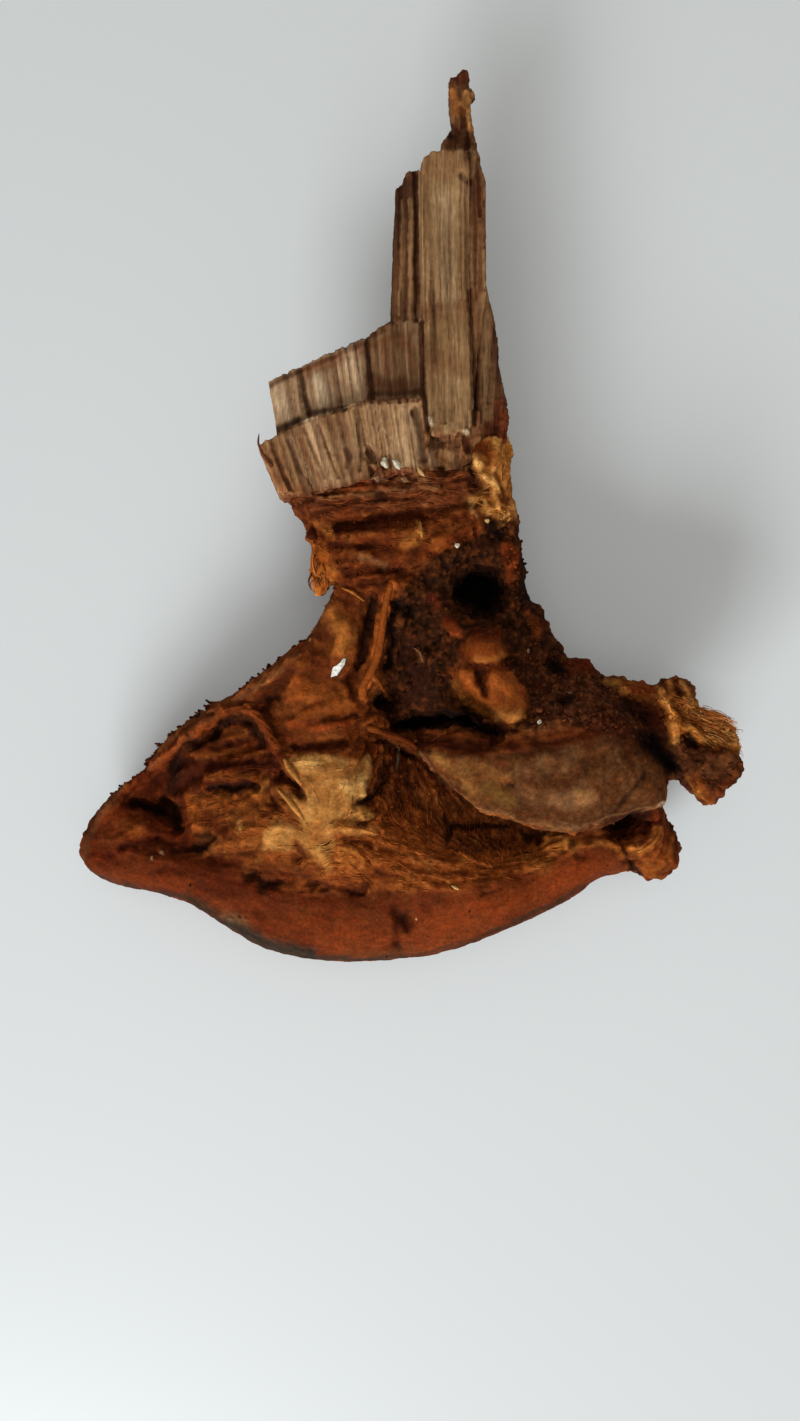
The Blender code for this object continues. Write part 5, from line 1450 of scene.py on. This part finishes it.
def make_wood(node, material):
    mesh, points = wood_skin(node)
    seen = seen_at(points)
    places = grain_places(points, node)
    folds, fibres, crumbs = texture_of(points, WOOD_AREAS, (0.1, 0.15, 0.1))
    fine = straight_grain(places, 0.5, 14.0, seed=71)
    lines = straight_grain(places, 1.0, 35.0, seed=70)
    ridges = straight_grain(places, 2.4, 60.0, seed=73)
    splits = np.clip(1.0 - np.abs(straight_grain(places, 2.0, 2000.0, seed=74)) / 0.3, 0.0, 1.0)
    splits *= smooth_step(0.1 + 2.0 * noise(places, (2.5, 16.0, 4.0), seed=75))
    grit = layered_noise(points, 1.6, 3, seed=72)
    rise = folds * ridges + fibres * (0.5 * lines + 0.3 * fine - 1.6 * splits) + crumbs * grit
    points += mesh_normals(mesh) * rise[:, None]
    set_mesh_points(mesh, points)

    relief = relief_of(points, mesh, 0.25)
    shades = straight_grain(places, 1.6, 30.0, seed=83)
    panels = straight_grain(places, 4.5, 14.0, seed=84)
    # The relief and the splits darken hollows and cracks: painted shade, and painted light on ridges.
    amount = 0.5 + 0.05 * lines + 0.05 * fine + 0.09 * shades + 0.12 * panels + 0.05 * relief + 0.08 * grit
    amount -= 0.35 * splits
    colour = painted(points, seen, amount, WOOD_AREAS, WOOD_STROKES, "brown wood", 1.0)
    # Painted shade in hollows and splits, painted light on ridges.
    colour *= np.exp(0.15 * relief - 0.3 * splits)[:, None]
    set_tint(mesh, colour * WOOD_WARMTH)

    wood = new_object(node + "_grain", mesh, material)
    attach(wood, "root")
    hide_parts(node)
    return wood


# ---------------------------------------------------------------- fibres and crumbs
#
# Single fibres: the line in pixels, the radius at its start, middle and end, how far it stands clear at its
# start, middle and end (in millimetres), its colour, and how many plies it is twisted from.

FIBRES = {
    "rope": (
        ((391, 584), (386, 600), (383, 622), (380, 645), (376, 662), (368, 677), (362, 687), (363, 698)),
        (0.5, 0.7, 0.8), (0.0, 0.5, 0.3), "orange", 1),
    "rope's branch": (
        ((372, 672), (380, 684), (388, 697)), (0.3, 0.35, 0.12), (0.1, 0.3, 0.1), "ochre", 1),
    "twig": (
        ((370, 729), (380, 731), (388, 734), (401, 738), (410, 742), (416, 748)),
        (0.6, 0.6, 0.45), (0.6, 1.4, 0.3), "orange brown", 1),
    "twig's end": (((368, 728), (375, 729), (383, 731)), (0.45, 0.62, 0.3), (0.75, 0.9, 0.9), "ochre", 1),
    "sliver": (((399, 747), (398, 760), (395, 774)), (0.2, 0.3, 0.1), (0.3, 1.2, 0.9), "ash", 1),
    "arch": (
        ((222, 709), (240, 707), (255, 711), (264, 722), (271, 734), (280, 748)),
        (0.25, 0.5, 0.3), (0.0, 0.1, 0.1), "orange brown", 2),
    "upper loose fibre": (
        ((284, 759), (289, 768), (296, 777), (304, 787)), (0.3, 0.58, 0.3), (-0.2, 0.1, -0.4), "tan", 1),
    "lower loose fibre": (
        ((278, 790), (288, 800), (297, 811), (307, 824)), (0.2, 0.55, 0.3), (0.1, 0.2, -0.3), "tan", 1),
    "crack": (
        ((315, 845), (321, 846), (327, 844), (332, 840)),
        (0.05, 0.16, 0.1), (-0.05, -0.05, -0.05), "char", 1),
    "band": (
        ((328, 829), (345, 827), (360, 829), (378, 833)),
        (0.1, 0.4, 0.1), (-0.1, -0.15, -0.1), "amber", 1),
    "curl by the gap": (
        ((374, 796), (384, 801), (386, 810), (376, 819)), (0.2, 0.5, 0.3), (0.1, 0.4, 0.1), "orange", 1),
    "neck's thin fibre": (
        ((342, 588), (352, 592), (364, 601)), (0.15, 0.3, 0.12), (0.1, 0.6, 0.2), "amber", 1),
    "knob's ridge": (
        ((661, 826), (658, 836), (651, 845), (638, 852)),
        (0.12, 0.45, 0.2), (-0.1, 0.1, 0.0), "amber", 1),
    "hook": (((414, 648), (420, 652), (423, 662)), (0.1, 0.25, 0.1), (0.1, 0.4, 0.1), "pale hide", 1),
    "pale sliver": (((420, 522), (422, 537)), (0.15, 0.3, 0.15), (0.1, 0.3, 0.1), "tan", 1),
    "flare": (
        ((272, 466), (263, 455), (258, 443), (259, 434)),
        (0.4, 0.25, 0.08), (0.0, 0.0, 0.0), "brown wood", 1),
}
FIBRE_POINTS = 28
HALF_TWIST = 3.5

# Coats of short fibres that lie along the grain: the area, how many, their length, radius and height above
# the surface in millimetres, and how bright they are beside what they lie on.
COATS = (
    ("wavy fibres", 200, (0.8, 2.4), (0.10, 0.22), 0.0, 1.1),
    ("ochre flesh", 50, (1.0, 3.0), (0.10, 0.22), 0.0, 1.1),
    ("pale core", 25, (1.5, 4.0), (0.08, 0.16), 0.0, 1.05),
    ("trough", 30, (2.0, 5.0), (0.08, 0.16), 0.0, 1.15),
    ("slope", 20, (2.0, 6.0), (0.06, 0.14), 0.0, 1.15),
    ("under the lobe", 110, (1.2, 3.5), (0.10, 0.22), 0.0, 1.15),
    ("gap", 60, (1.5, 4.0), (0.08, 0.2), 0.1, 1.2),
    ("neck flesh", 40, (1.5, 4.0), (0.08, 0.18), 0.0, 1.15),
    ("banded layer", 70, (2.0, 6.0), (0.08, 0.2), 0.0, 1.1),
    ("amber flesh", 25, (1.0, 3.0), (0.08, 0.18), 0.0, 1.05),
    ("chunk's gold", 160, (0.8, 2.6), (0.04, 0.08), 0.1, 1.15),
    ("chunk", 40, (0.8, 2.0), (0.08, 0.16), 0.1, 1.25),
    ("dark flesh", 70, (0.5, 1.6), (0.08, 0.16), 0.1, 1.3),
    ("mottled flesh", 70, (0.5, 1.4), (0.08, 0.16), 0.1, 1.3),
    ("foot of the gap", 60, (1.0, 3.0), (0.08, 0.18), 0.1, 1.2),
)

# Tufts: the lines in pixels where their fibres start and end, the heights there (in millimetres), how many
# fibres, their radius, and their colours.
TUFTS = (
    (((312, 552), (340, 558)), ((314, 596), (332, 584)), (28.3, 27.4), 60, (0.08, 0.18),
     ("bright orange", "orange", "ochre")),
    (((478, 502), (484, 514)), ((512, 504), (514, 514)), (30.2, 29.4), 24, (0.05, 0.1),
     ("amber", "orange", "ochre")),
    (((688, 704), (704, 740)), ((738, 722), (741, 757)), (28.6, 28.2), 500, (0.04, 0.08),
     ("amber", "tan", "orange", "bright orange")),
    (((662, 692), (676, 712)), ((694, 706), (704, 730)), (29.2, 28.9), 60, (0.05, 0.1),
     ("ochre", "orange", "amber")),
)

# How thick a hair is along its length, in a coat and in a tuft, beside its radius, and how far it lifts.
COAT_HAIR = (0.5, 0.9, 1.0, 1.0, 0.9, 0.6, 0.2)
TUFT_HAIR = (1.0, 1.0, 1.0, 0.9, 0.7, 0.5, 0.2)
HAIR_LIFT = (-0.3, 0.3, 0.7, 1.0, 0.9, 0.7, 0.5)
HAIR_POINTS = len(COAT_HAIR)

# The neck's east edge, in pixels, where crumbs lie beside the dark flesh.
EAST_EDGE = ((500, 512), (512, 512), (522, 590), (548, 650), (536, 650), (510, 592))

# Crumbs, coloured like what they lie on, lighter or darker: the area or its outline in pixels, how many, and
# their size in millimetres.
CRUMBS = (
    ("mottled flesh", 170, (0.18, 0.55)),
    ("dark flesh", 190, (0.2, 0.6)),
    ("chunk", 120, (0.2, 0.6)),
    ("gap", 30, (0.2, 0.5)),
    ("neck flesh", 60, (0.15, 0.45)),
    ("growing margin", 60, (0.08, 0.22)),
    (EAST_EDGE, 60, (0.2, 0.45)),
)

# Chips and flakes, one by one: the pixel, its half length, half width and half thickness in millimetres, its
# turn in degrees from the photograph's up, and its colour.
CHIPS = (
    ((338, 667), (2.1, 0.85, 0.35), -27, "chalk"),
    ((385, 463), (0.95, 0.75, 0.8), 30, "cream"),
    ((397, 465), (1.3, 0.5, 0.8), 40, "cream"),
    ((404, 480), (0.8, 0.5, 0.5), 60, "pale hide"),
    ((422, 474), (1.3, 0.4, 0.5), 40, "straw"),
    ((313, 630), (0.45, 0.4, 0.35), 0, "cream"),
    ((310, 640), (0.4, 0.35, 0.3), 0, "tan"),
    ((457, 545), (0.5, 0.45, 0.35), 10, "cream"),
    ((487, 521), (0.45, 0.4, 0.3), 0, "straw"),
    ((528, 651), (0.45, 0.4, 0.3), 0, "pale hide"),
    ((539, 722), (0.5, 0.4, 0.3), 30, "cream"),
    ((570, 693), (0.5, 0.3, 0.3), 60, "pale hide"),
    ((513, 672), (0.45, 0.4, 0.3), 0, "hide"),
    ((455, 887), (0.75, 0.3, 0.2), 60, "straw"),
    ((416, 919), (0.3, 0.25, 0.2), 0, "straw"),
    ((162, 853), (0.55, 0.4, 0.2), 50, "pale hide"),
    ((152, 858), (0.5, 0.35, 0.2), 0, "pale hide"),
    ((232, 919), (0.55, 0.4, 0.25), 40, "pale hide"),
    ((240, 917), (0.4, 0.3, 0.2), 0, "hide"),
    ((377, 478), (0.9, 0.6, 0.4), 60, "pale hide"),
    ((431, 421), (0.8, 0.35, 0.3), 0, "pale wood"),
    ((467, 432), (0.5, 0.45, 0.3), 0, "pale wood"),
    ((312, 535), (1.1, 1.0, 0.9), 20, "umber"),
)

# Teeth of crust that stand out of the flank: the line in pixels inside the edge from which they are sought,
# the way they point, how many, and their length in millimetres.
TEETH = (
    (((112, 812), (126, 790)), (-0.9, -0.4), 3, (0.0, 0.3)),
    (((126, 794), (146, 776)), (-0.9, -0.4), 5, (0.1, 0.4)),
    (((152, 770), (178, 750)), (-0.9, -0.4), 20, (0.2, 0.7)),
    (((184, 744), (198, 732)), (-0.9, -0.4), 10, (0.1, 0.55)),
    (((210, 726), (240, 710)), (-0.9, -0.3), 24, (0.2, 0.7)),
    (((254, 700), (300, 664)), (-0.8, -0.6), 12, (0.2, 0.5)),
    (((312, 668), (316, 640)), (-1.0, -0.2), 6, (0.2, 0.5)),
    (((516, 540), (516, 580)), (1.0, 0.0), 8, (0.2, 0.5)),
)
TOOTH_RADIUS = (0.18, 0.4)
TOOTH_SHAPE = (1.2, 1.3, 1.1, 1.0, 1.0, 0.7)

# The height of a chip that lies past the edge, and what lies lower than a fibre or crumb can.
FLANK_HEIGHT = 23.5
LOWEST_FIBRE = 8.0

# A line that drops by more than this from one point to the next has left the surface.
STEP_DOWN = 2.5


class Ground:
    """The skins that fibres and crumbs lie on."""

    def __init__(self, objects):
        vertices, faces = [], []
        for obj in objects:
            first = len(vertices)
            vertices += [vert.co.copy() for vert in obj.data.vertices]
            faces += [[first + number for number in face.vertices] for face in obj.data.polygons]
        self.tree = BVHTree.FromPolygons(vertices, faces)

    def seen(self, pixel):
        """The point that the photograph shows at a pixel, or None."""
        eye = Vector(EYE) * MM
        aim = Vector(at_pixel(pixel, 0.0)) * MM - eye
        place, _, _, _ = self.tree.ray_cast(eye, aim.normalized())
        return None if place is None else np.array(place) / MM

    def high(self, pixels):
        """The points that the photograph shows at these pixels and that can carry fibres and crumbs."""
        places = [self.seen(pixel) for pixel in pixels]
        return [place for place in places if place is not None and place[2] >= LOWEST_FIBRE]

    def rim(self, pixel, heading):
        """The last point seen on the way out over the edge from a pixel, or None."""
        last = None
        for step in np.arange(0.0, 40.0, 0.5):
            place = self.seen(np.array(pixel) + np.array(heading) * step)
            if place is None or place[2] < LOWEST_FIBRE:
                return last
            last = place
        return None

    def follow(self, pixels, clear, clinging=False):
        """A line over the surface, clear of it by so much. It runs on level where the surface falls away.

        A clinging line is dropped if it leaves the surface."""
        places = [self.seen(pixel) for pixel in pixels]
        heights = [place[2] for place in places if place is not None and place[2] > LOWEST_FIBRE]
        if not heights:
            return None
        line, height = [], heights[0]
        for pixel, place, lift in zip(pixels, places, clear):
            if place is not None and place[2] >= height - STEP_DOWN:
                height = place[2]
            elif clinging:
                return None
            else:
                height -= 0.05
            line.append(at_pixel(pixel, height + lift))
        return np.array(line)


def resampled(values, count):
    """A list of numbers or points, drawn out smoothly to this many."""
    values = np.array(values, float)
    rows = values.reshape(len(values), -1)
    old, new = np.linspace(0.0, 1.0, len(rows)), np.linspace(0.0, 1.0, count)
    drawn = np.column_stack([np.interp(new, old, column) for column in rows.T])
    for _ in range(count // 6):
        drawn[1:-1] = (drawn[:-2] + 2.0 * drawn[1:-1] + drawn[2:]) / 4.0
    return drawn.reshape((count,) + values.shape[1:])


def small_piece(name, points, faces, tints, material):
    mesh = bpy.data.meshes.new(name)
    mesh.from_pydata((points * MM).tolist(), [], faces)
    mesh.polygons.foreach_set("use_smooth", [True] * len(faces))
    set_tint(mesh, tints)
    piece = new_object(name, mesh, material)
    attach(piece, "root")


def tubes(name, lines, material, sides):
    """One mesh of closed, tapered tubes. Each line is its points, its radii and its colours."""
    vertices, faces, tints = [], [], []
    turns = np.arange(sides) / sides * math.tau
    first = 0
    for points, radii, colours in lines:
        count = len(points)
        heading = np.gradient(points, axis=0)
        heading /= np.maximum(np.linalg.norm(heading, axis=1), 1e-6)[:, None]
        across = np.cross(heading, (0.05, 0.03, 1.0))
        across /= np.maximum(np.linalg.norm(across, axis=1), 1e-6)[:, None]
        above = np.cross(across, heading)
        cos, sin = np.cos(turns)[None, :, None], np.sin(turns)[None, :, None]
        around = cos * across[:, None] + sin * above[:, None]
        rims = points[:, None] + radii[:, None, None] * around
        ends = points[[0, -1]] + heading[[0, -1]] * (radii[[0, -1]] * (-0.7, 0.7))[:, None]
        vertices.append(np.vstack((rims.reshape(-1, 3), ends)))
        tints.append(np.vstack((np.repeat(colours, sides, axis=0), colours[[0, -1]])))
        ring = [(k, (k + 1) % sides) for k in range(sides)]
        for low in range(first, first + (count - 1) * sides, sides):
            high = low + sides
            faces += [(low + k, low + after, high + after, high + k) for k, after in ring]
        start = first + count * sides
        last = start - sides
        faces += [(start, first + after, first + k) for k, after in ring]
        faces += [(start + 1, last + k, last + after) for k, after in ring]
        first = start + 2
    small_piece(name, np.vstack(vertices), faces, np.vstack(tints), material)


def make_loose_fibres(ground, flesh_material, wood_material):
    """The single fibres, and those of dry wood apart."""
    lines, dry_lines = [], []
    for pixels, radii, clear, colour, plies in FIBRES.values():
        line = ground.follow(resampled(pixels, FIBRE_POINTS), resampled(clear, FIBRE_POINTS))
        line[:, 2] = np.convolve(np.pad(line[:, 2], 2, mode="edge"), np.full(5, 0.2), mode="valid")
        thickness = resampled(radii, FIBRE_POINTS) * (1.0 + 0.15 * noise(line, 1.2, seed=110))
        heading = np.gradient(line, axis=0)
        across = np.cross(heading, (0.0, 0.0, 1.0))
        across /= np.linalg.norm(across, axis=1)[:, None]
        length = np.linalg.norm(np.diff(line, axis=0), axis=1).sum()
        along = np.linspace(0.0, 1.0, FIBRE_POINTS) * length
        for ply in range(plies):
            turn = along / HALF_TWIST * math.pi + ply * math.tau / plies
            away = 0.55 * thickness * (plies > 1)
            place = line + (away * np.cos(turn))[:, None] * across
            place[:, 2] += away * np.sin(turn)
            shade = np.exp(0.25 * noise(place, 1.5, seed=111 + ply))[:, None]
            size = thickness * (0.7 if plies > 1 else 1.0)
            kept = dry_lines if colour == "brown wood" else lines
            kept.append((place, size, linear(colour)[None, :] * FLESH_WARMTH * shade))
    tubes("loose_fibres", lines, flesh_material, 8)
    tubes("loose_splinters", dry_lines, wood_material, 6)


def inside_spots(outline, count, chance):
    """Pixels spread at random inside an outline."""
    outline = np.array(outline, float)
    spots = np.empty((0, 2))
    while len(spots) < count:
        tries = chance.uniform(outline.min(0), outline.max(0), (count * 2, 2))
        spots = np.vstack((spots, tries[depth_inside(tries, outline) > 0.0]))
    return spots[:count]


def spots_on(area, count, chance):
    """Pixels spread at random in an area of the flesh, or in an outline, that lie on no smooth lump."""
    spots = inside_spots(FLESH_AREAS[area][0] if area in FLESH_AREAS else area, count, chance)
    for name in LUMPS:
        spots = spots[depth_inside(spots, np.array(FLESH_AREAS[name][0], float)) < 0.0]
    return spots


def coat_lines(ground, coat, chance):
    """The fibres of a coat, each along the grain where it lies."""
    area, count, lengths, radii, lift, bright = coat
    places = np.array(ground.high(spots_on(area, count, chance)))
    upright = np.array([(0.0, 0.0, 1.0)] * len(places))
    lines = []
    for place, heading in zip(places, grain_direction(places, upright)):
        length = chance.uniform(*lengths)
        angle = math.atan2(heading[1], heading[0]) + chance.normal(0.0, 0.22)
        bend = chance.normal(0.0, 0.09)
        wave, phase = chance.uniform(0.0, 0.35), chance.uniform(0.0, 6.0)
        steps = np.linspace(0.0, length, HAIR_POINTS)
        angles = angle + bend * steps + wave * np.sin(steps * 1.6 + phase)
        moves = np.column_stack((np.cos(angles), np.sin(angles))) * length / (HAIR_POINTS - 1)
        path = place[:2] + np.cumsum(moves, axis=0)
        pixels = seen_at(np.column_stack((path, np.full(HAIR_POINTS, place[2]))))
        clear = lift * np.array(HAIR_LIFT) * chance.uniform(0.2, 1.4)
        line = ground.follow(pixels, clear, clinging=True)
        if line is None or np.ptp(line[:, 2]) > 4.0:
            continue
        thickness = chance.uniform(*radii) * np.array(COAT_HAIR)
        lines.append((line, thickness, bright * math.exp(chance.normal(0.0, 0.2))))
    return lines


def make_coat(ground, material, chance):
    lines = [line for coat in COATS for line in coat_lines(ground, coat, chance)]
    colours = flesh_tint(np.vstack([line[0] for line in lines])).reshape(len(lines), HAIR_POINTS, 3)
    coats = [(place, size, colour * bright) for (place, size, bright), colour in zip(lines, colours)]
    tubes("fibre_coat", coats, material, 4)


def make_tufts(material, chance):
    lines = []
    for feet, tips, heights, count, radii, names in TUFTS:
        for _ in range(count):
            share = chance.uniform(0.0, 1.0)
            foot = along_line(feet, share) + chance.normal(0.0, 1.5, 2)
            tip_share = np.clip(share + chance.normal(0.0, 0.2), 0.0, 1.0)
            tip = along_line(tips, tip_share) + chance.normal(0.0, 2.0, 2)
            foot = foot + (tip - foot) * chance.uniform(0.0, 0.8)
            tip = foot + (tip - foot) * chance.uniform(0.3, 1.0)
            low, high = heights[0] + chance.normal(0.0, 0.25), heights[1] + chance.normal(0.0, 0.4)
            start, end = at_pixel(foot, low), at_pixel(tip, high)
            bend = chance.normal(0.0, 0.4, 3)
            steps = np.linspace(0.0, 1.0, HAIR_POINTS)[:, None]
            line = start + (end - start) * steps + bend * np.sin(steps * math.pi)
            thickness = chance.uniform(*radii) * np.array(TUFT_HAIR)
            tone = linear(names[chance.integers(len(names))]) * math.exp(chance.normal(0.0, 0.25))
            # Each fibre darkens towards its foot and lightens towards its tip: painted shade at the roots,
            # painted light at the tips.
            lines.append((line, thickness, tone * np.linspace(0.8, 1.6, HAIR_POINTS)[:, None]))
    tubes("tufts", lines, material, 4)


def make_teeth(ground, material, chance):
    count_along = len(TOOTH_SHAPE)
    lines = []
    for line, heading, count, lengths in TEETH:
        way = np.array((heading[0], -heading[1], 0.0))
        for _ in range(count):
            rim = ground.rim(along_line(line, chance.uniform(0.0, 1.0)), heading)
            if rim is None:
                continue
            way_out = way + chance.normal(0.0, 0.3, 3)
            reach = np.linspace(-0.8, chance.uniform(*lengths), count_along)
            bend = chance.normal(0.0, 0.15, 3)
            points = rim - (0.0, 0.0, 0.3) + way_out * reach[:, None] + bend * (reach ** 2)[:, None]
            thickness = chance.uniform(*TOOTH_RADIUS) * np.array(TOOTH_SHAPE)
            tone = linear("umber") * math.exp(chance.normal(0.0, 0.3))
            knobbly = (1.0 + 0.3 * chance.normal(size=count_along)).clip(0.5)
            lines.append((points, thickness * knobbly, np.tile(tone, (count_along, 1))))
    tubes("crust_teeth", lines, material, 5)


def broken_lump(ball, number, breaks):
    """A ball's points as a rough lump with five broken sides."""
    rough = 1.0 + 0.35 * noise(ball * 1.3 + number * 7.0, 1.0, seed=130)
    rough += 0.15 * noise(ball + number * 5.0, 0.4, seed=131)
    shaped = ball * rough[:, None]
    for _ in range(5):
        facet = breaks.normal(size=3)
        facet /= np.linalg.norm(facet)
        shaped -= np.maximum(shaped @ facet - breaks.uniform(0.45, 0.85), 0.0)[:, None] * facet
    return shaped


def rough_lumps(name, spots, material, subdivisions):
    """One mesh of rough lumps. Each is its place, its half sizes, its turn and its colour."""
    breaks = np.random.default_rng(SEED + len(spots))
    plan = bmesh.new()
    bmesh.ops.create_icosphere(plan, subdivisions=subdivisions, radius=1.0)
    ball = np.array([vert.co[:] for vert in plan.verts])
    faces = np.array([[vert.index for vert in face.verts] for face in plan.faces])
    plan.free()
    all_points, all_faces, tints = [], [], []
    for number, (place, sizes, turn, colour) in enumerate(spots):
        shaped = broken_lump(ball, number, breaks) * (sizes[1], sizes[0], sizes[2])
        cos, sin = math.cos(math.radians(turn)), math.sin(math.radians(turn))
        turned = shaped @ np.array(((cos, sin, 0.0), (-sin, cos, 0.0), (0.0, 0.0, 1.0)))
        all_points.append(turned + place)
        all_faces.append(faces + number * len(ball))
        shade = np.exp(0.35 * noise(ball + number * 3.0, 0.6, seed=132))
        tints.append((linear(colour) if isinstance(colour, str) else colour)[None, :] * shade[:, None])
    faces = np.vstack(all_faces).tolist()
    small_piece(name, np.vstack(all_points), faces, np.vstack(tints), material)


def make_crumbs(ground, material, chance):
    spots = []
    for area, count, sizes in CRUMBS:
        for place in ground.high(spots_on(area, count, chance)):
            size = chance.uniform(*sizes)
            shape = size * chance.uniform(0.7, 1.3, 3)
            spots.append([place + (0.0, 0.0, 0.2 * size), shape, chance.uniform(0.0, 180.0)])
    for spot, colour in zip(spots, flesh_tint(np.array([spot[0] for spot in spots]))):
        spot.append(colour * math.exp(min(chance.normal(0.1, 0.4), 0.4)))
    rough_lumps("crumbs", spots, material, 2)


def make_chips(ground, material):
    chips = []
    for pixel, sizes, turn, colour in CHIPS:
        place = ground.seen(pixel)
        if place is None:
            place = at_pixel(pixel, FLANK_HEIGHT)
        chips.append((place + (0.0, 0.0, 0.5 * sizes[2]), sizes, turn, colour))
    rough_lumps("chips_and_flakes", chips, material, 3)


# ---------------------------------------------------------------- materials
#
# The grit's detail and roughness, the range of its noise, the shades that the range gives, how far the
# surface's roughness swings with it, and how strongly it dents.

GRIT = (4.0, 0.65)
GRIT_RANGE = (0.25, 0.75)
GRIT_SHADES = (0.55, 1.40)
ROUGHNESS_SWING = 0.12
DENTS = 0.7


def new_material(name):
    """A material with its node tree and its shader."""
    material = bpy.data.materials.new(name)
    material.use_nodes = True
    return material, material.node_tree, material.node_tree.nodes["Principled BSDF"]


def shader_node(tree, kind, **sockets):
    """A node whose sockets have these values. A socket's spaces are written as underscores."""
    made = tree.nodes.new(kind)
    for name, value in sockets.items():
        made.inputs[name.replace("_", " ")].default_value = value
    return made


def ranged(tree, source, low, high, **sockets):
    """A node that turns the source's values into values between low and high."""
    made = shader_node(tree, "ShaderNodeMapRange", To_Min=low, To_Max=high, **sockets)
    tree.links.new(source, made.inputs["Value"])
    return made.outputs["Result"]


def tinted_material(name, roughness, specular, grit_size, grit_depth, stretch=(1.0, 1.0, 1.0)):
    """A matt surface whose colour is the tint, broken up by fine grit that also dents it."""
    material, tree, shader = new_material(name)
    shader.inputs["Specular IOR Level"].default_value = specular
    place = shader_node(tree, "ShaderNodeTexCoord")
    squeeze = shader_node(tree, "ShaderNodeMapping", Scale=stretch)
    scale = 1.0 / (grit_size * MM)
    grit = shader_node(tree, "ShaderNodeTexNoise", Scale=scale, Detail=GRIT[0], Roughness=GRIT[1])
    tree.links.new(place.outputs["Object"], squeeze.inputs["Vector"])
    tree.links.new(squeeze.outputs["Vector"], grit.inputs["Vector"])
    specks = grit.outputs["Fac"]

    tint = shader_node(tree, "ShaderNodeAttribute")
    tint.attribute_name = TINT
    blend = shader_node(tree, "ShaderNodeMix")
    blend.data_type = "RGBA"
    blend.blend_type = "MULTIPLY"
    blend.inputs[0].default_value = 1.0
    shades = ranged(tree, specks, *GRIT_SHADES, From_Min=GRIT_RANGE[0], From_Max=GRIT_RANGE[1])
    tree.links.new(tint.outputs["Color"], blend.inputs[6])
    tree.links.new(shades, blend.inputs[7])
    tree.links.new(blend.outputs[2], shader.inputs["Base Color"])

    rough = ranged(tree, specks, roughness - ROUGHNESS_SWING, min(roughness + ROUGHNESS_SWING, 1.0))
    tree.links.new(rough, shader.inputs["Roughness"])
    bump = shader_node(tree, "ShaderNodeBump", Strength=DENTS, Distance=grit_depth * MM)
    tree.links.new(specks, bump.inputs["Height"])
    tree.links.new(bump.outputs["Normal"], shader.inputs["Normal"])
    return material


# ---------------------------------------------------------------- the set, in metres

FLOOR_COLOUR = (0.66, 0.685, 0.69)
FLOOR_ROUGHNESS = 0.35
FLOOR_HALF = 1.5
FLOOR_DROP = 0.0002
ROOM_COLOUR = (1.0, 0.965, 0.915)
ROOM_STRENGTH = 0.36

# The lights, which look at the middle of the ground: place, width and depth, power and colour.
LIGHTS = {
    "window": ((-0.38, -1.02, 0.62), (0.6, 0.45), 15.6, (0.95, 0.985, 1.0)),
    "ceiling": ((0.0, 0.0, 1.1), (0.8, 0.8), 2.4, (1.0, 1.0, 1.0)),
}


def make_floor():
    material, _, shader = new_material("pale tabletop")
    shader.inputs["Base Color"].default_value = (*FLOOR_COLOUR, 1.0)
    shader.inputs["Roughness"].default_value = FLOOR_ROUGHNESS
    plan = bmesh.new()
    bmesh.ops.create_grid(plan, x_segments=1, y_segments=1, size=FLOOR_HALF)
    floor = new_object("floor", mesh_from(plan, "floor"), material)
    floor.location.z = -FLOOR_DROP


def make_lights():
    world = bpy.data.worlds.new("soft room")
    world.use_nodes = True
    background = world.node_tree.nodes["Background"]
    background.inputs["Color"].default_value = (*ROOM_COLOUR, 1.0)
    background.inputs["Strength"].default_value = ROOM_STRENGTH
    bpy.context.scene.world = world
    for name, (place, size, power, colour) in LIGHTS.items():
        lamp = bpy.data.lights.new(name, "AREA")
        lamp.shape = "RECTANGLE"
        lamp.size, lamp.size_y = size
        lamp.energy = power
        lamp.color = colour
        made = new_object(name, lamp)
        made.location = place
        made.rotation_euler = (Vector((0.0, 0.0, 0.0)) - Vector(place)).to_track_quat("-Z", "Y").to_euler()


def make_camera():
    data = bpy.data.cameras.new("camera")
    data.lens = LENS
    data.sensor_width = SENSOR
    data.sensor_fit = "AUTO"
    data.clip_start = 0.01
    camera = new_object("camera", data)
    camera.location = Vector(EYE) * MM
    bpy.context.scene.camera = camera


# ---------------------------------------------------------------- the whole scene

def main():
    make_camera()
    make_floor()
    make_lights()
    bpy.context.scene.view_settings.view_transform = "Standard"
    flesh_material = tinted_material("torn flesh", 0.85, 0.05, 0.55, 0.2)
    wood_material = tinted_material("split wood", 0.80, 0.08, 0.9, 0.15, (3.0, 0.35, 1.5))
    flesh = make_flesh(flesh_material)
    wood = [make_wood(node, wood_material) for node in BUNDLES]
    ground = Ground([flesh] + wood)
    make_loose_fibres(ground, flesh_material, wood_material)
    chance = np.random.default_rng(SEED + 100)
    make_coat(ground, flesh_material, chance)
    make_tufts(flesh_material, chance)
    make_teeth(ground, flesh_material, np.random.default_rng(SEED + 300))
    make_crumbs(ground, flesh_material, np.random.default_rng(SEED + 200))
    make_chips(ground, flesh_material)


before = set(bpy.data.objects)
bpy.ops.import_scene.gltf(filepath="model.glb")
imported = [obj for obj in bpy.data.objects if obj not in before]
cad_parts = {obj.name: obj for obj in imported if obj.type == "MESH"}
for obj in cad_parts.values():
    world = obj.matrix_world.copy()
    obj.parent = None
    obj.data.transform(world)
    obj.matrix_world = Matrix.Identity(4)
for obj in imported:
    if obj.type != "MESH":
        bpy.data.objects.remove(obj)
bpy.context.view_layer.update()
main()
